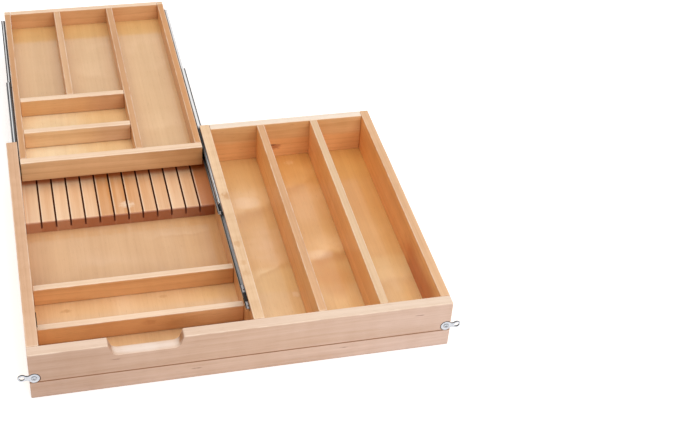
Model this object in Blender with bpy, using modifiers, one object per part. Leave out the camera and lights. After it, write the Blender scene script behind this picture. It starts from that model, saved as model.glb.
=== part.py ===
# Two-tier cutlery drawer: a hardwood drawer box with open bays and a knife block,
# and an upper tray that rides on ball-bearing rails and slides to the rear over the left bay.
# Metres, +Z up. X runs across the drawer, Y from the front to the back.
# The origin is under the middle of the front board. The tray is drawn at the rear end of its travel.

from math import asin, atan2, cos, pi, radians, remainder, sin, sqrt, tan

import bmesh
import bpy
from mathutils import Matrix, Vector

# Drawer box
BOX_WIDTH = 0.686
BOX_DEPTH = 0.559
BOX_HEIGHT = 0.093
FRONT_THICKNESS = 0.020
LEFT_WALL_THICKNESS = 0.0195
CENTRE_WALL_THICKNESS = 0.018
RIGHT_WALL_THICKNESS = 0.016
BACK_THICKNESS = 0.016
LEFT_BAY_WIDTH = 0.3375
PANEL_THICKNESS = 0.006
PANEL_RECESS = 0.009
PANEL_TONGUE = 0.006

# Right bay
RIGHT_BAY_DIVIDERS = 2
RIGHT_DIVIDER_THICKNESS = 0.014

# Lower left bay, from the front board towards the back. The rear bin takes what the knife block leaves.
FRONT_BIN_DEPTH = 0.0795
MIDDLE_BIN_DEPTH = 0.083
CROSS_DIVIDER_THICKNESS = 0.0127
UNDER_TRAY_CLEARANCE = 0.002

# Knife block
KNIFE_BLOCK_DEPTH = 0.157
KNIFE_HEADROOM = 0.0135
KNIFE_SLOT_PITCH = 0.0257
KNIFE_END_STRIP = 0.022
KNIFE_SLOT_WIDTH = 0.0032
KNIFE_SLOT_FLOOR = 0.0085
KNIFE_NOSE_RADIUS = 0.004

# Finger scoop in the front board's top edge
SCOOP_TOP_WIDTH = 0.119
SCOOP_BOTTOM_WIDTH = 0.104
SCOOP_DEPTH = 0.022
SCOOP_OFFSET = -0.0053
SCOOP_CORNER_RADIUS = 0.012
SCOOP_LIP_RADIUS = 0.003

# Line groove across the front face
LINE_GROOVE_HEIGHT = 0.0344
LINE_GROOVE_WIDTH = 0.0018
LINE_GROOVE_DEPTH = 0.0015

# Upper tray
TRAY_HEIGHT = 0.041
TRAY_TRAVEL = 0.4675
TRAY_CLOSING_GAP = 0.003
TRAY_BACK_INSET = 0.004
TRAY_LEFT_GAP = 0.002
TRAY_RIGHT_GAP = 0.0055
TRAY_FRONT_THICKNESS = 0.015
TRAY_WALL_THICKNESS = 0.012
TRAY_DIVIDER_THICKNESS = 0.013
TRAY_FLOOR_THICKNESS = 0.004
TRAY_FLOOR_RECESS = 0.0015
TRAY_FLOOR_TONGUE = 0.005
TRAY_LEFT_COMPARTMENT = 0.0885
TRAY_MIDDLE_COMPARTMENT = 0.0955
TRAY_FRONT_COMPARTMENT = 0.077
TRAY_SECOND_COMPARTMENT = 0.091

# Telescopic rails: cabinet rail, middle rail and tray rail, nested around two rows of balls
RAIL_HEIGHT = 0.035
RAIL_THICKNESS = 0.0127
RAIL_METAL = 0.0012
RAIL_BEND = 0.0006
RAIL_FRONT_INSET = 0.060
RAIL_BACK_INSET = 0.007
MIDDLE_RAIL_BACK_INSET = 0.004
TRAY_RAIL_BACK_INSET = 0.0135
MIDDLE_TRAVEL = 0.220
RAIL_LIP = 0.0014
CABINET_RAIL_STEP = 0.0052
MIDDLE_RAIL_STEP = 0.0013
BALL_DIAMETER = 0.0023
BALL_CLEARANCE = 0.0002
BALLS_PER_ROW = 6
CAGE_METAL = 0.0006
CAGE_END_MARGIN = 0.005
RAIL_TIP_LENGTH = 0.014
RAIL_STOP_LENGTH = 0.0155
RAIL_STOP_PROUD = 0.0014
RAIL_STOP_GAP = 0.0005
RAIL_SCREW_HOLES = 3
RAIL_SCREW_HOLE_RADIUS = 0.0024

# Figure-eight fixing clips on the front board
CLIP_THICKNESS = 0.0025
CLIP_LARGE_RADIUS = 0.009
CLIP_SMALL_RADIUS = 0.0067
CLIP_SPACING = 0.0185
CLIP_NECK_RADIUS = 0.006
CLIP_OPEN_HOLE_RADIUS = 0.0039
CLIP_RECESS_OVERHANG = 0.0029
CLIP_HEIGHT = 0.043
CLIP_RECESS_CLEARANCE = 0.0014
CLIP_SCREW_SHANK_RADIUS = 0.0021
CLIP_SCREW_HEAD_RADIUS = 0.0046
CLIP_SCREW_HEAD_RISE = 0.0012
CLIP_SCREW_COVER = 0.006
LEFT_CLIP_TILT = radians(7)
RIGHT_CLIP_TILT = 0.0

# Fits and finish
FIT_GAP = 0.0003
EDGE_ROUND = 0.0012
EDGE_SEGMENTS = 2
CUT_OVERRUN = 0.002
WELD_DISTANCE = 0.000001
ARC_STEPS = 8
BEND_STEPS = 3
CIRCLE_STEPS = 24
SMOOTH_ANGLE = radians(35)
BALL_SEGMENTS = 8
BALL_RINGS = 5

# Finishes: colour, roughness, metallic
FINISHES = {
    "maple": ((0.74, 0.50, 0.30), 0.42, 0.0),
    "maple_ply": ((0.76, 0.53, 0.32), 0.45, 0.0),
    "block_wood": ((0.70, 0.42, 0.24), 0.40, 0.0),
    "rail_steel": ((0.55, 0.56, 0.58), 0.30, 1.0),
    "cage_steel": ((0.66, 0.66, 0.64), 0.35, 1.0),
    "stop_plastic": ((0.02, 0.02, 0.022), 0.50, 0.0),
    "clip_zinc": ((0.72, 0.74, 0.77), 0.22, 1.0),
    "screw_steel": ((0.62, 0.64, 0.67), 0.25, 1.0),
}

# Places worked out from the sizes above
FRONT_FACE = -FRONT_THICKNESS / 2
FRONT_BACK = FRONT_THICKNESS / 2
BOX_BACK = FRONT_FACE + BOX_DEPTH
BACK_BOARD_FRONT = BOX_BACK - BACK_THICKNESS
BOX_LEFT = -BOX_WIDTH / 2
BOX_RIGHT = BOX_WIDTH / 2
LEFT_BAY_LEFT = BOX_LEFT + LEFT_WALL_THICKNESS
LEFT_BAY_RIGHT = LEFT_BAY_LEFT + LEFT_BAY_WIDTH
RIGHT_BAY_LEFT = LEFT_BAY_RIGHT + CENTRE_WALL_THICKNESS
RIGHT_BAY_RIGHT = BOX_RIGHT - RIGHT_WALL_THICKNESS
PANEL_TOP = PANEL_RECESS + PANEL_THICKNESS
FLOOR_LEVEL = PANEL_TOP + FIT_GAP

TRAY_TOP = BOX_HEIGHT
TRAY_BOTTOM = TRAY_TOP - TRAY_HEIGHT
TRAY_LEFT = LEFT_BAY_LEFT + TRAY_LEFT_GAP
TRAY_RIGHT = LEFT_BAY_RIGHT - TRAY_RIGHT_GAP
TRAY_FRONT = FRONT_BACK + TRAY_CLOSING_GAP + TRAY_TRAVEL
TRAY_BACK = BOX_BACK - TRAY_BACK_INSET + TRAY_TRAVEL
TRAY_FLOOR_TOP = TRAY_BOTTOM + TRAY_FLOOR_RECESS + TRAY_FLOOR_THICKNESS
LOW_BOARD_TOP = TRAY_BOTTOM - UNDER_TRAY_CLEARANCE
KNIFE_BLOCK_TOP = TRAY_BOTTOM - KNIFE_HEADROOM

RAIL_CENTRE = (TRAY_TOP + TRAY_BOTTOM) / 2
CABINET_RAIL_FRONT = FRONT_BACK + RAIL_FRONT_INSET
CABINET_RAIL_BACK = BOX_BACK - RAIL_BACK_INSET
STOP_FRONT = CABINET_RAIL_FRONT + RAIL_TIP_LENGTH
STOP_BACK = STOP_FRONT + RAIL_STOP_LENGTH
MOVING_RAIL_FRONT = STOP_BACK + RAIL_STOP_GAP
MIDDLE_RAIL_BACK = CABINET_RAIL_BACK - MIDDLE_RAIL_BACK_INSET
TRAY_RAIL_BACK = CABINET_RAIL_BACK - TRAY_RAIL_BACK_INSET

CLIP_RECESS_RADIUS = CLIP_LARGE_RADIUS + CLIP_RECESS_CLEARANCE
CLIP_RECESS_DEPTH = CLIP_THICKNESS + FIT_GAP
CLIP_SCREW_HOLE_RADIUS = CLIP_SCREW_SHANK_RADIUS + FIT_GAP
CLIP_SCREW_LENGTH = FRONT_THICKNESS - CLIP_SCREW_COVER
CLIP_EDGE_DISTANCE = CLIP_RECESS_RADIUS - CLIP_RECESS_OVERHANG


def clear_scene():
    for old in list(bpy.data.objects):
        bpy.data.objects.remove(old, do_unlink=True)


def new_collection(name):
    made = bpy.data.collections.new(name)
    bpy.context.scene.collection.children.link(made)
    return made


clear_scene()
DRAWER = new_collection("cutlery_drawer")
CUTTERS = new_collection("cutters")
CUTTERS.hide_render = True


def finish_material(name, finish):
    colour, roughness, metallic = FINISHES[finish]
    made = bpy.data.materials.new(name + "_finish")
    made.use_nodes = True
    shader = made.node_tree.nodes["Principled BSDF"]
    shader.inputs["Base Color"].default_value = (*colour, 1.0)
    shader.inputs["Roughness"].default_value = roughness
    shader.inputs["Metallic"].default_value = metallic
    return made


def add_part(name, mesh, finish, location, parent=None):
    part = bpy.data.objects.new(name, mesh)
    DRAWER.objects.link(part)
    mesh.materials.append(finish_material(name, finish))
    part.location = location
    if parent:
        part.parent = parent
        part.location = Vector(location) - parent.location
    return part


def add_frame(name, location):
    frame = bpy.data.objects.new(name, None)
    DRAWER.objects.link(frame)
    frame.location = location
    return frame


def box_mesh(name, size):
    mesh = bpy.data.meshes.new(name)
    shape = bmesh.new()
    bmesh.ops.create_cube(shape, size=1.0)
    bmesh.ops.scale(shape, vec=size, verts=shape.verts)
    shape.to_mesh(mesh)
    shape.free()
    return mesh


def ease_edges(part):
    bevel = part.modifiers.new("eased_edges", "BEVEL")
    bevel.width = EDGE_ROUND
    bevel.segments = EDGE_SEGMENTS
    bevel.limit_method = "ANGLE"
    bevel.angle_limit = pi / 3


def board(name, low, high, finish="maple", parent=None):
    low = Vector(low)
    high = Vector(high)
    part = add_part(name, box_mesh(name, high - low), finish, (low + high) / 2, parent)
    ease_edges(part)
    return part


def add_cutter(name, mesh, location=(0.0, 0.0, 0.0)):
    cutter = bpy.data.objects.new(name, mesh)
    CUTTERS.objects.link(cutter)
    cutter.location = location
    cutter.hide_render = True
    cutter.display_type = "WIRE"
    return cutter


def cut_with(part, cutter, operation="DIFFERENCE"):
    boolean = part.modifiers.new(cutter.name, "BOOLEAN")
    boolean.operation = operation
    boolean.solver = "EXACT"
    boolean.object = cutter


def cut_box(part, name, low, high):
    low = Vector(low)
    high = Vector(high)
    cutter = add_cutter(part.name + "_" + name, box_mesh(name, high - low), (low + high) / 2)
    cut_with(part, cutter)


def cylinder_mesh(name, radius, length, axis):
    mesh = bpy.data.meshes.new(name)
    shape = bmesh.new()
    turn = Vector((0.0, 0.0, 1.0)).rotation_difference(Vector(axis)).to_matrix().to_4x4()
    bmesh.ops.create_cone(
        shape,
        cap_ends=True,
        segments=CIRCLE_STEPS,
        radius1=radius,
        radius2=radius,
        depth=length,
        matrix=turn,
    )
    shape.to_mesh(mesh)
    shape.free()
    return mesh


def arc(centre, radius, start, end, steps=ARC_STEPS):
    angles = [start + (end - start) * step / steps for step in range(steps + 1)]
    return [(centre[0] + radius * cos(angle), centre[1] + radius * sin(angle)) for angle in angles]


def circle(centre, radius):
    return arc(centre, radius, 0.0, 2 * pi, CIRCLE_STEPS)[:-1]


# Which way a flat outline's two axes and its thickness run in space
ACROSS = Matrix(((1, 0, 0), (0, 0, -1), (0, 1, 0)))
ALONG = Matrix(((0, 0, 1), (1, 0, 0), (0, 1, 0)))


def prism_mesh(name, loop, thickness, facing):
    shape = bmesh.new()
    near = [shape.verts.new((x, y, -thickness / 2)) for x, y in loop]
    far = [shape.verts.new((x, y, thickness / 2)) for x, y in loop]
    shape.faces.new(near)
    shape.faces.new(far)
    for index in range(len(loop)):
        shape.faces.new((near[index - 1], near[index], far[index], far[index - 1]))
    bmesh.ops.recalc_face_normals(shape, faces=shape.faces)
    return finished_mesh(name, shape, facing)


def finished_mesh(name, shape, facing):
    mesh = bpy.data.meshes.new(name)
    shape.to_mesh(mesh)
    shape.free()
    mesh.transform(facing.to_4x4())
    mesh.shade_smooth()
    mesh.set_sharp_from_angle(angle=SMOOTH_ANGLE)
    return mesh


def pierced_mesh(name, loops, thickness, facing):
    # The first loop is the outline, and the others are holes through it.
    curve = bpy.data.curves.new(name + "_outline", "CURVE")
    curve.dimensions = "2D"
    curve.fill_mode = "BOTH"
    curve.extrude = thickness / 2
    for loop in loops:
        spline = curve.splines.new("POLY")
        spline.points.add(len(loop) - 1)
        for point, place in zip(spline.points, loop):
            point.co = (place[0], place[1], 0.0, 1.0)
        spline.use_cyclic_u = True
    drawn = bpy.data.objects.new(name + "_outline", curve)
    CUTTERS.objects.link(drawn)
    graph = bpy.context.evaluated_depsgraph_get()
    filled = bpy.data.meshes.new_from_object(drawn.evaluated_get(graph))
    bpy.data.objects.remove(drawn, do_unlink=True)
    shape = bmesh.new()
    shape.from_mesh(filled)
    bpy.data.meshes.remove(filled)
    bmesh.ops.remove_doubles(shape, verts=shape.verts, dist=WELD_DISTANCE)
    bmesh.ops.recalc_face_normals(shape, faces=shape.faces)
    return finished_mesh(name, shape, facing)


def build_front_board():
    scoop_centre = (LEFT_BAY_LEFT + LEFT_BAY_RIGHT) / 2 + SCOOP_OFFSET
    scoop_floor = BOX_HEIGHT - SCOOP_DEPTH
    slant = atan2(SCOOP_DEPTH, (SCOOP_TOP_WIDTH - SCOOP_BOTTOM_WIDTH) / 2)
    corner_reach = SCOOP_CORNER_RADIUS * tan(slant / 2)
    lip_reach = SCOOP_LIP_RADIUS * tan(slant / 2)
    corner_x = SCOOP_BOTTOM_WIDTH / 2 - corner_reach
    lip_x = SCOOP_TOP_WIDTH / 2 + lip_reach
    half = arc(
        (corner_x, scoop_floor + SCOOP_CORNER_RADIUS),
        SCOOP_CORNER_RADIUS,
        -pi / 2,
        -pi / 2 + slant,
    )
    half += arc(
        (lip_x, BOX_HEIGHT - SCOOP_LIP_RADIUS),
        SCOOP_LIP_RADIUS,
        pi / 2 + slant,
        pi / 2,
    )
    right = [(scoop_centre + x, z) for x, z in half]
    left = [(scoop_centre - x, z) for x, z in reversed(half)]
    edge = left + right
    edge += [(BOX_RIGHT, BOX_HEIGHT), (BOX_RIGHT, 0.0), (BOX_LEFT, 0.0), (BOX_LEFT, BOX_HEIGHT)]
    mesh = prism_mesh("front_board", edge, FRONT_THICKNESS, ACROSS)
    part = add_part("front_board", mesh, "maple", (0.0, 0.0, 0.0))
    ease_edges(part)
    cut_box(
        part,
        "panel_groove",
        (panel_left() - FIT_GAP, FRONT_BACK - PANEL_TONGUE - FIT_GAP, PANEL_RECESS - FIT_GAP),
        (panel_right() + FIT_GAP, FRONT_BACK + CUT_OVERRUN, PANEL_TOP + FIT_GAP),
    )
    line_bottom = LINE_GROOVE_HEIGHT - LINE_GROOVE_WIDTH / 2
    cut_box(
        part,
        "line_groove",
        (BOX_LEFT - CUT_OVERRUN, FRONT_FACE - CUT_OVERRUN, line_bottom),
        (BOX_RIGHT + CUT_OVERRUN, FRONT_FACE + LINE_GROOVE_DEPTH, line_bottom + LINE_GROOVE_WIDTH),
    )
    for side in (-1, 1):
        recess = cylinder_mesh("clip_recess", CLIP_RECESS_RADIUS, CLIP_RECESS_DEPTH + CUT_OVERRUN, (0, 1, 0))
        recess_middle = FRONT_FACE + (CLIP_RECESS_DEPTH - CUT_OVERRUN) / 2
        cut_with(part, add_cutter("clip_recess", recess, (clip_x(side), recess_middle, CLIP_HEIGHT)))
        pilot_length = CLIP_SCREW_LENGTH + FIT_GAP + CUT_OVERRUN
        pilot = cylinder_mesh("clip_pilot", CLIP_SCREW_HOLE_RADIUS, pilot_length, (0, 1, 0))
        pilot_middle = FRONT_FACE + (pilot_length - 2 * CUT_OVERRUN) / 2
        cut_with(part, add_cutter("clip_pilot", pilot, (clip_x(side), pilot_middle, CLIP_HEIGHT)))


def panel_left():
    return LEFT_BAY_LEFT - PANEL_TONGUE


def panel_right():
    return RIGHT_BAY_RIGHT + PANEL_TONGUE


def panel_front():
    return FRONT_BACK - PANEL_TONGUE


def panel_back():
    return BACK_BOARD_FRONT + PANEL_TONGUE


def clip_x(side):
    return side * (BOX_WIDTH / 2 - CLIP_EDGE_DISTANCE)


def cut_side_panel_groove(part, inner_face, side):
    deep = inner_face + side * (PANEL_TONGUE + FIT_GAP)
    open_side = inner_face - side * CUT_OVERRUN
    cut_box(
        part,
        "panel_groove",
        (min(deep, open_side), FRONT_BACK - CUT_OVERRUN, PANEL_RECESS - FIT_GAP),
        (max(deep, open_side), panel_back() + FIT_GAP, PANEL_TOP + FIT_GAP),
    )


def rail_groove_depth(side):
    # The groove takes what the gap beside the tray leaves of the rail.
    tray_gap = TRAY_LEFT_GAP if side < 0 else TRAY_RIGHT_GAP
    return RAIL_THICKNESS + 2 * FIT_GAP - tray_gap


def cut_rail_groove(part, inner_face, side):
    deep = inner_face + side * rail_groove_depth(side)
    open_side = inner_face - side * CUT_OVERRUN
    half_height = RAIL_HEIGHT / 2 + FIT_GAP
    cut_box(
        part,
        "rail_groove",
        (min(deep, open_side), CABINET_RAIL_FRONT - FIT_GAP, RAIL_CENTRE - half_height),
        (max(deep, open_side), BOX_BACK + CUT_OVERRUN, RAIL_CENTRE + half_height),
    )


def build_walls():
    wall_front = FRONT_BACK + FIT_GAP
    left = board(
        "left_wall",
        (BOX_LEFT, wall_front, 0.0),
        (LEFT_BAY_LEFT, BOX_BACK, BOX_HEIGHT),
    )
    cut_side_panel_groove(left, LEFT_BAY_LEFT, -1)
    cut_rail_groove(left, LEFT_BAY_LEFT, -1)
    right = board(
        "right_wall",
        (RIGHT_BAY_RIGHT, wall_front, 0.0),
        (BOX_RIGHT, BOX_BACK, BOX_HEIGHT),
    )
    cut_side_panel_groove(right, RIGHT_BAY_RIGHT, 1)

    # The centre wall stands on the bottom panel, with a heel behind the panel's rear edge.
    heel_front = panel_back() + FIT_GAP
    side_view = [
        (wall_front, FLOOR_LEVEL),
        (heel_front, FLOOR_LEVEL),
        (heel_front, 0.0),
        (BOX_BACK, 0.0),
        (BOX_BACK, BOX_HEIGHT),
        (wall_front, BOX_HEIGHT),
    ]
    mesh = prism_mesh("centre_wall", side_view, CENTRE_WALL_THICKNESS, ALONG)
    centre_x = (LEFT_BAY_RIGHT + RIGHT_BAY_LEFT) / 2
    centre = add_part("centre_wall", mesh, "maple", (centre_x, 0.0, 0.0))
    ease_edges(centre)
    cut_rail_groove(centre, LEFT_BAY_RIGHT, 1)


def build_back_board(name, left, right, top):
    part = board(
        name,
        (left + FIT_GAP, BACK_BOARD_FRONT, 0.0),
        (right - FIT_GAP, BOX_BACK, top),
    )
    cut_box(
        part,
        "panel_groove",
        (left - CUT_OVERRUN, BACK_BOARD_FRONT - CUT_OVERRUN, PANEL_RECESS - FIT_GAP),
        (right + CUT_OVERRUN, panel_back() + FIT_GAP, PANEL_TOP + FIT_GAP),
    )


def build_bottom_panel():
    board(
        "bottom_panel",
        (panel_left(), panel_front(), PANEL_RECESS),
        (panel_right(), panel_back(), PANEL_TOP),
        "maple_ply",
    )


def build_right_dividers():
    bays = RIGHT_BAY_DIVIDERS + 1
    clear = RIGHT_BAY_RIGHT - RIGHT_BAY_LEFT - RIGHT_BAY_DIVIDERS * RIGHT_DIVIDER_THICKNESS
    pitch = clear / bays + RIGHT_DIVIDER_THICKNESS
    for index in range(RIGHT_BAY_DIVIDERS):
        right = RIGHT_BAY_LEFT + (index + 1) * pitch
        board(
            f"right_bay_divider_{index + 1}",
            (right - RIGHT_DIVIDER_THICKNESS, FRONT_BACK + FIT_GAP, FLOOR_LEVEL),
            (right, BACK_BOARD_FRONT - FIT_GAP, BOX_HEIGHT),
        )


def build_cross_dividers():
    front = FRONT_BACK
    for name, depth in (("front", FRONT_BIN_DEPTH), ("rear", MIDDLE_BIN_DEPTH)):
        front += depth
        board(
            f"cross_divider_{name}",
            (LEFT_BAY_LEFT + FIT_GAP, front, FLOOR_LEVEL),
            (LEFT_BAY_RIGHT - FIT_GAP, front + CROSS_DIVIDER_THICKNESS, LOW_BOARD_TOP),
        )
        front += CROSS_DIVIDER_THICKNESS


def build_knife_block():
    # The nose is rounded along the top front edge, and the slots run open from front to back.
    back = BACK_BOARD_FRONT - FIT_GAP
    front = back - KNIFE_BLOCK_DEPTH
    low = Vector((LEFT_BAY_LEFT + FIT_GAP, front, FLOOR_LEVEL))
    high = Vector((LEFT_BAY_RIGHT - FIT_GAP, back, KNIFE_BLOCK_TOP))
    nose = arc(
        (front + KNIFE_NOSE_RADIUS, KNIFE_BLOCK_TOP - KNIFE_NOSE_RADIUS),
        KNIFE_NOSE_RADIUS,
        pi / 2,
        pi,
    )
    side_view = nose + [(front, low.z), (high.y, low.z), (high.y, high.z)]
    mesh = prism_mesh("knife_block", side_view, high.x - low.x, ALONG)
    part = add_part("knife_block", mesh, "block_wood", ((low.x + high.x) / 2, 0.0, 0.0))
    middle = (low.x + high.x) / 2
    spaces = int((high.x - low.x - 2 * KNIFE_END_STRIP - KNIFE_SLOT_WIDTH) / KNIFE_SLOT_PITCH)
    slot_floor = low.z + KNIFE_SLOT_FLOOR
    for index in range(spaces + 1):
        slot_left = middle + (index - spaces / 2) * KNIFE_SLOT_PITCH - KNIFE_SLOT_WIDTH / 2
        cut_box(
            part,
            f"slot_{index + 1}",
            (slot_left, low.y - CUT_OVERRUN, slot_floor),
            (slot_left + KNIFE_SLOT_WIDTH, high.y + CUT_OVERRUN, high.z + CUT_OVERRUN),
        )


def cut_tray_floor_groove(part, low, high):
    cut_box(
        part,
        "floor_groove",
        (low[0], low[1], TRAY_BOTTOM + TRAY_FLOOR_RECESS - FIT_GAP),
        (high[0], high[1], TRAY_FLOOR_TOP + FIT_GAP),
    )


def build_tray():
    tray = add_frame("tray_slide", (0.0, TRAY_FRONT, RAIL_CENTRE))
    front_back = TRAY_FRONT + TRAY_FRONT_THICKNESS
    back_front = TRAY_BACK - TRAY_WALL_THICKNESS
    inner_left = TRAY_LEFT + TRAY_WALL_THICKNESS
    inner_right = TRAY_RIGHT - TRAY_WALL_THICKNESS
    reach = TRAY_FLOOR_TONGUE + FIT_GAP
    front = board(
        "tray_front",
        (TRAY_LEFT, TRAY_FRONT, TRAY_BOTTOM),
        (TRAY_RIGHT, front_back, TRAY_TOP),
        parent=tray,
    )
    cut_tray_floor_groove(
        front,
        (inner_left - reach, front_back - reach),
        (inner_right + reach, front_back + CUT_OVERRUN),
    )
    left = board(
        "tray_left_side",
        (TRAY_LEFT, front_back + FIT_GAP, TRAY_BOTTOM),
        (inner_left, TRAY_BACK, TRAY_TOP),
        parent=tray,
    )
    cut_tray_floor_groove(
        left,
        (inner_left - reach, front_back - CUT_OVERRUN),
        (inner_left + CUT_OVERRUN, back_front + reach),
    )
    right = board(
        "tray_right_side",
        (inner_right, front_back + FIT_GAP, TRAY_BOTTOM),
        (TRAY_RIGHT, TRAY_BACK, TRAY_TOP),
        parent=tray,
    )
    cut_tray_floor_groove(
        right,
        (inner_right - CUT_OVERRUN, front_back - CUT_OVERRUN),
        (inner_right + reach, back_front + reach),
    )
    back = board(
        "tray_back",
        (inner_left + FIT_GAP, back_front, TRAY_BOTTOM),
        (inner_right - FIT_GAP, TRAY_BACK, TRAY_TOP),
        parent=tray,
    )
    cut_tray_floor_groove(
        back,
        (inner_left - CUT_OVERRUN, back_front - CUT_OVERRUN),
        (inner_right + CUT_OVERRUN, back_front + reach),
    )
    board(
        "tray_floor",
        (inner_left - TRAY_FLOOR_TONGUE, front_back - TRAY_FLOOR_TONGUE, TRAY_BOTTOM + TRAY_FLOOR_RECESS),
        (inner_right + TRAY_FLOOR_TONGUE, back_front + TRAY_FLOOR_TONGUE, TRAY_FLOOR_TOP),
        "maple_ply",
        tray,
    )
    build_tray_dividers(tray, inner_left, front_back, back_front)
    return tray


def build_tray_dividers(tray, inner_left, front_back, back_front):
    foot = TRAY_FLOOR_TOP + FIT_GAP
    short_left = inner_left + TRAY_LEFT_COMPARTMENT
    long_left = short_left + TRAY_DIVIDER_THICKNESS + TRAY_MIDDLE_COMPARTMENT
    board(
        "tray_long_divider",
        (long_left, front_back + FIT_GAP, foot),
        (long_left + TRAY_DIVIDER_THICKNESS, back_front - FIT_GAP, TRAY_TOP),
        parent=tray,
    )
    cross_front = front_back
    for name, depth in (("front", TRAY_FRONT_COMPARTMENT), ("rear", TRAY_SECOND_COMPARTMENT)):
        cross_front += depth
        board(
            f"tray_cross_divider_{name}",
            (inner_left + FIT_GAP, cross_front, foot),
            (long_left - FIT_GAP, cross_front + TRAY_DIVIDER_THICKNESS, TRAY_TOP),
            parent=tray,
        )
        cross_front += TRAY_DIVIDER_THICKNESS
    board(
        "tray_short_divider",
        (short_left, cross_front + FIT_GAP, foot),
        (short_left + TRAY_DIVIDER_THICKNESS, back_front - FIT_GAP, TRAY_TOP),
        parent=tray,
    )


# Rail sections. Depth runs from the groove towards the tray, height from the rail's centre line.
BALL_CHANNEL = BALL_DIAMETER + 2 * BALL_CLEARANCE
MIDDLE_WEB = RAIL_METAL + 2 * FIT_GAP + CAGE_METAL
INNER_CAGE_WEB = MIDDLE_WEB + RAIL_METAL + FIT_GAP
MIDDLE_HALF = RAIL_HEIGHT / 2 - RAIL_METAL - BALL_CHANNEL
TRAY_RAIL_HALF = MIDDLE_HALF - RAIL_METAL - BALL_CHANNEL


def rounded_corner(before, corner, after, radius):
    # The arc of this radius that touches both sides of the corner.
    to_before = (Vector(before) - Vector(corner)).normalized()
    to_after = (Vector(after) - Vector(corner)).normalized()
    half = to_before.angle(to_after) / 2
    centre = Vector(corner) + (to_before + to_after).normalized() * (radius / sin(half))
    start = Vector(corner) + to_before * (radius / tan(half)) - centre
    end = Vector(corner) + to_after * (radius / tan(half)) - centre
    start_angle = atan2(start.y, start.x)
    turn = remainder(atan2(end.y, end.x) - start_angle, 2 * pi)
    return arc(centre, radius, start_angle, start_angle + turn, BEND_STEPS)


def channel_section(web, half, mouth, metal, lip):
    # A rolled channel on its side: web at one depth, flanges to the mouth, and any lips turned in there.
    turn = 1 if mouth > web else -1
    inside = half - metal
    outer_bend = RAIL_BEND + metal
    corners = [((web, half), outer_bend)]
    if lip:
        corners += [
            ((mouth, half), outer_bend),
            ((mouth, inside - lip), 0.0),
            ((mouth - turn * metal, inside - lip), 0.0),
            ((mouth - turn * metal, inside), RAIL_BEND),
        ]
    else:
        corners += [((mouth, half), 0.0), ((mouth, inside), 0.0)]
    corners += [((web + turn * metal, inside), RAIL_BEND)]
    corners += [((depth, -height), bend) for (depth, height), bend in reversed(corners)]
    section = []
    for index, (corner, bend) in enumerate(corners):
        before = corners[index - 1][0]
        after = corners[(index + 1) % len(corners)][0]
        section += rounded_corner(before, corner, after, bend) if bend else [corner]
    return section


def rail_mesh(name, section, length, side):
    loop = [(-side * depth, height) for depth, height in section]
    return prism_mesh(name, loop, length, ACROSS)


def rail_seat(side):
    inner_face = LEFT_BAY_LEFT if side < 0 else LEFT_BAY_RIGHT
    return inner_face + side * (rail_groove_depth(side) - FIT_GAP)


def add_rail(name, section, span, side, finish, parent=None):
    front, back = span
    place = (rail_seat(side), (front + back) / 2, RAIL_CENTRE)
    return add_part(name, rail_mesh(name, section, back - front, side), finish, place, parent)


def punch_screw_holes(part, span, side, web):
    front, back = span
    middle = rail_seat(side) - side * (web + RAIL_METAL / 2)
    for index in range(RAIL_SCREW_HOLES):
        y = front + (back - front) * (index + 0.5) / RAIL_SCREW_HOLES
        hole = cylinder_mesh("rail_hole", RAIL_SCREW_HOLE_RADIUS, RAIL_METAL + CUT_OVERRUN / 2, (1, 0, 0))
        cut_with(part, add_cutter("rail_hole", hole, (middle, y, RAIL_CENTRE)))


def build_cage(name, depths, half, span, side):
    web, mouth = depths
    front, back = span
    place = (rail_seat(side), (front + back) / 2, RAIL_CENTRE)
    frame = add_frame(name + "_slide", (rail_seat(side), front, RAIL_CENTRE))
    section = channel_section(web, half, mouth, CAGE_METAL, 0.0)
    cage = add_rail(name, section, span, side, "cage_steel", frame)
    balls = bpy.data.meshes.new(name + "_balls")
    shape = bmesh.new()
    ball_depth = (web + mouth) / 2
    ball_height = half - CAGE_METAL / 2
    for index in range(BALLS_PER_ROW):
        y = (back - front) * ((index + 0.5) / BALLS_PER_ROW - 0.5)
        for height in (-ball_height, ball_height):
            bmesh.ops.create_uvsphere(
                shape,
                u_segments=BALL_SEGMENTS,
                v_segments=BALL_RINGS,
                radius=BALL_DIAMETER / 2,
                matrix=Matrix.Translation((-side * ball_depth, y, height)),
            )
    shape.to_mesh(balls)
    shape.free()
    balls.shade_smooth()
    cut_with(cage, add_cutter(name + "_balls", balls, place), "UNION")


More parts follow.
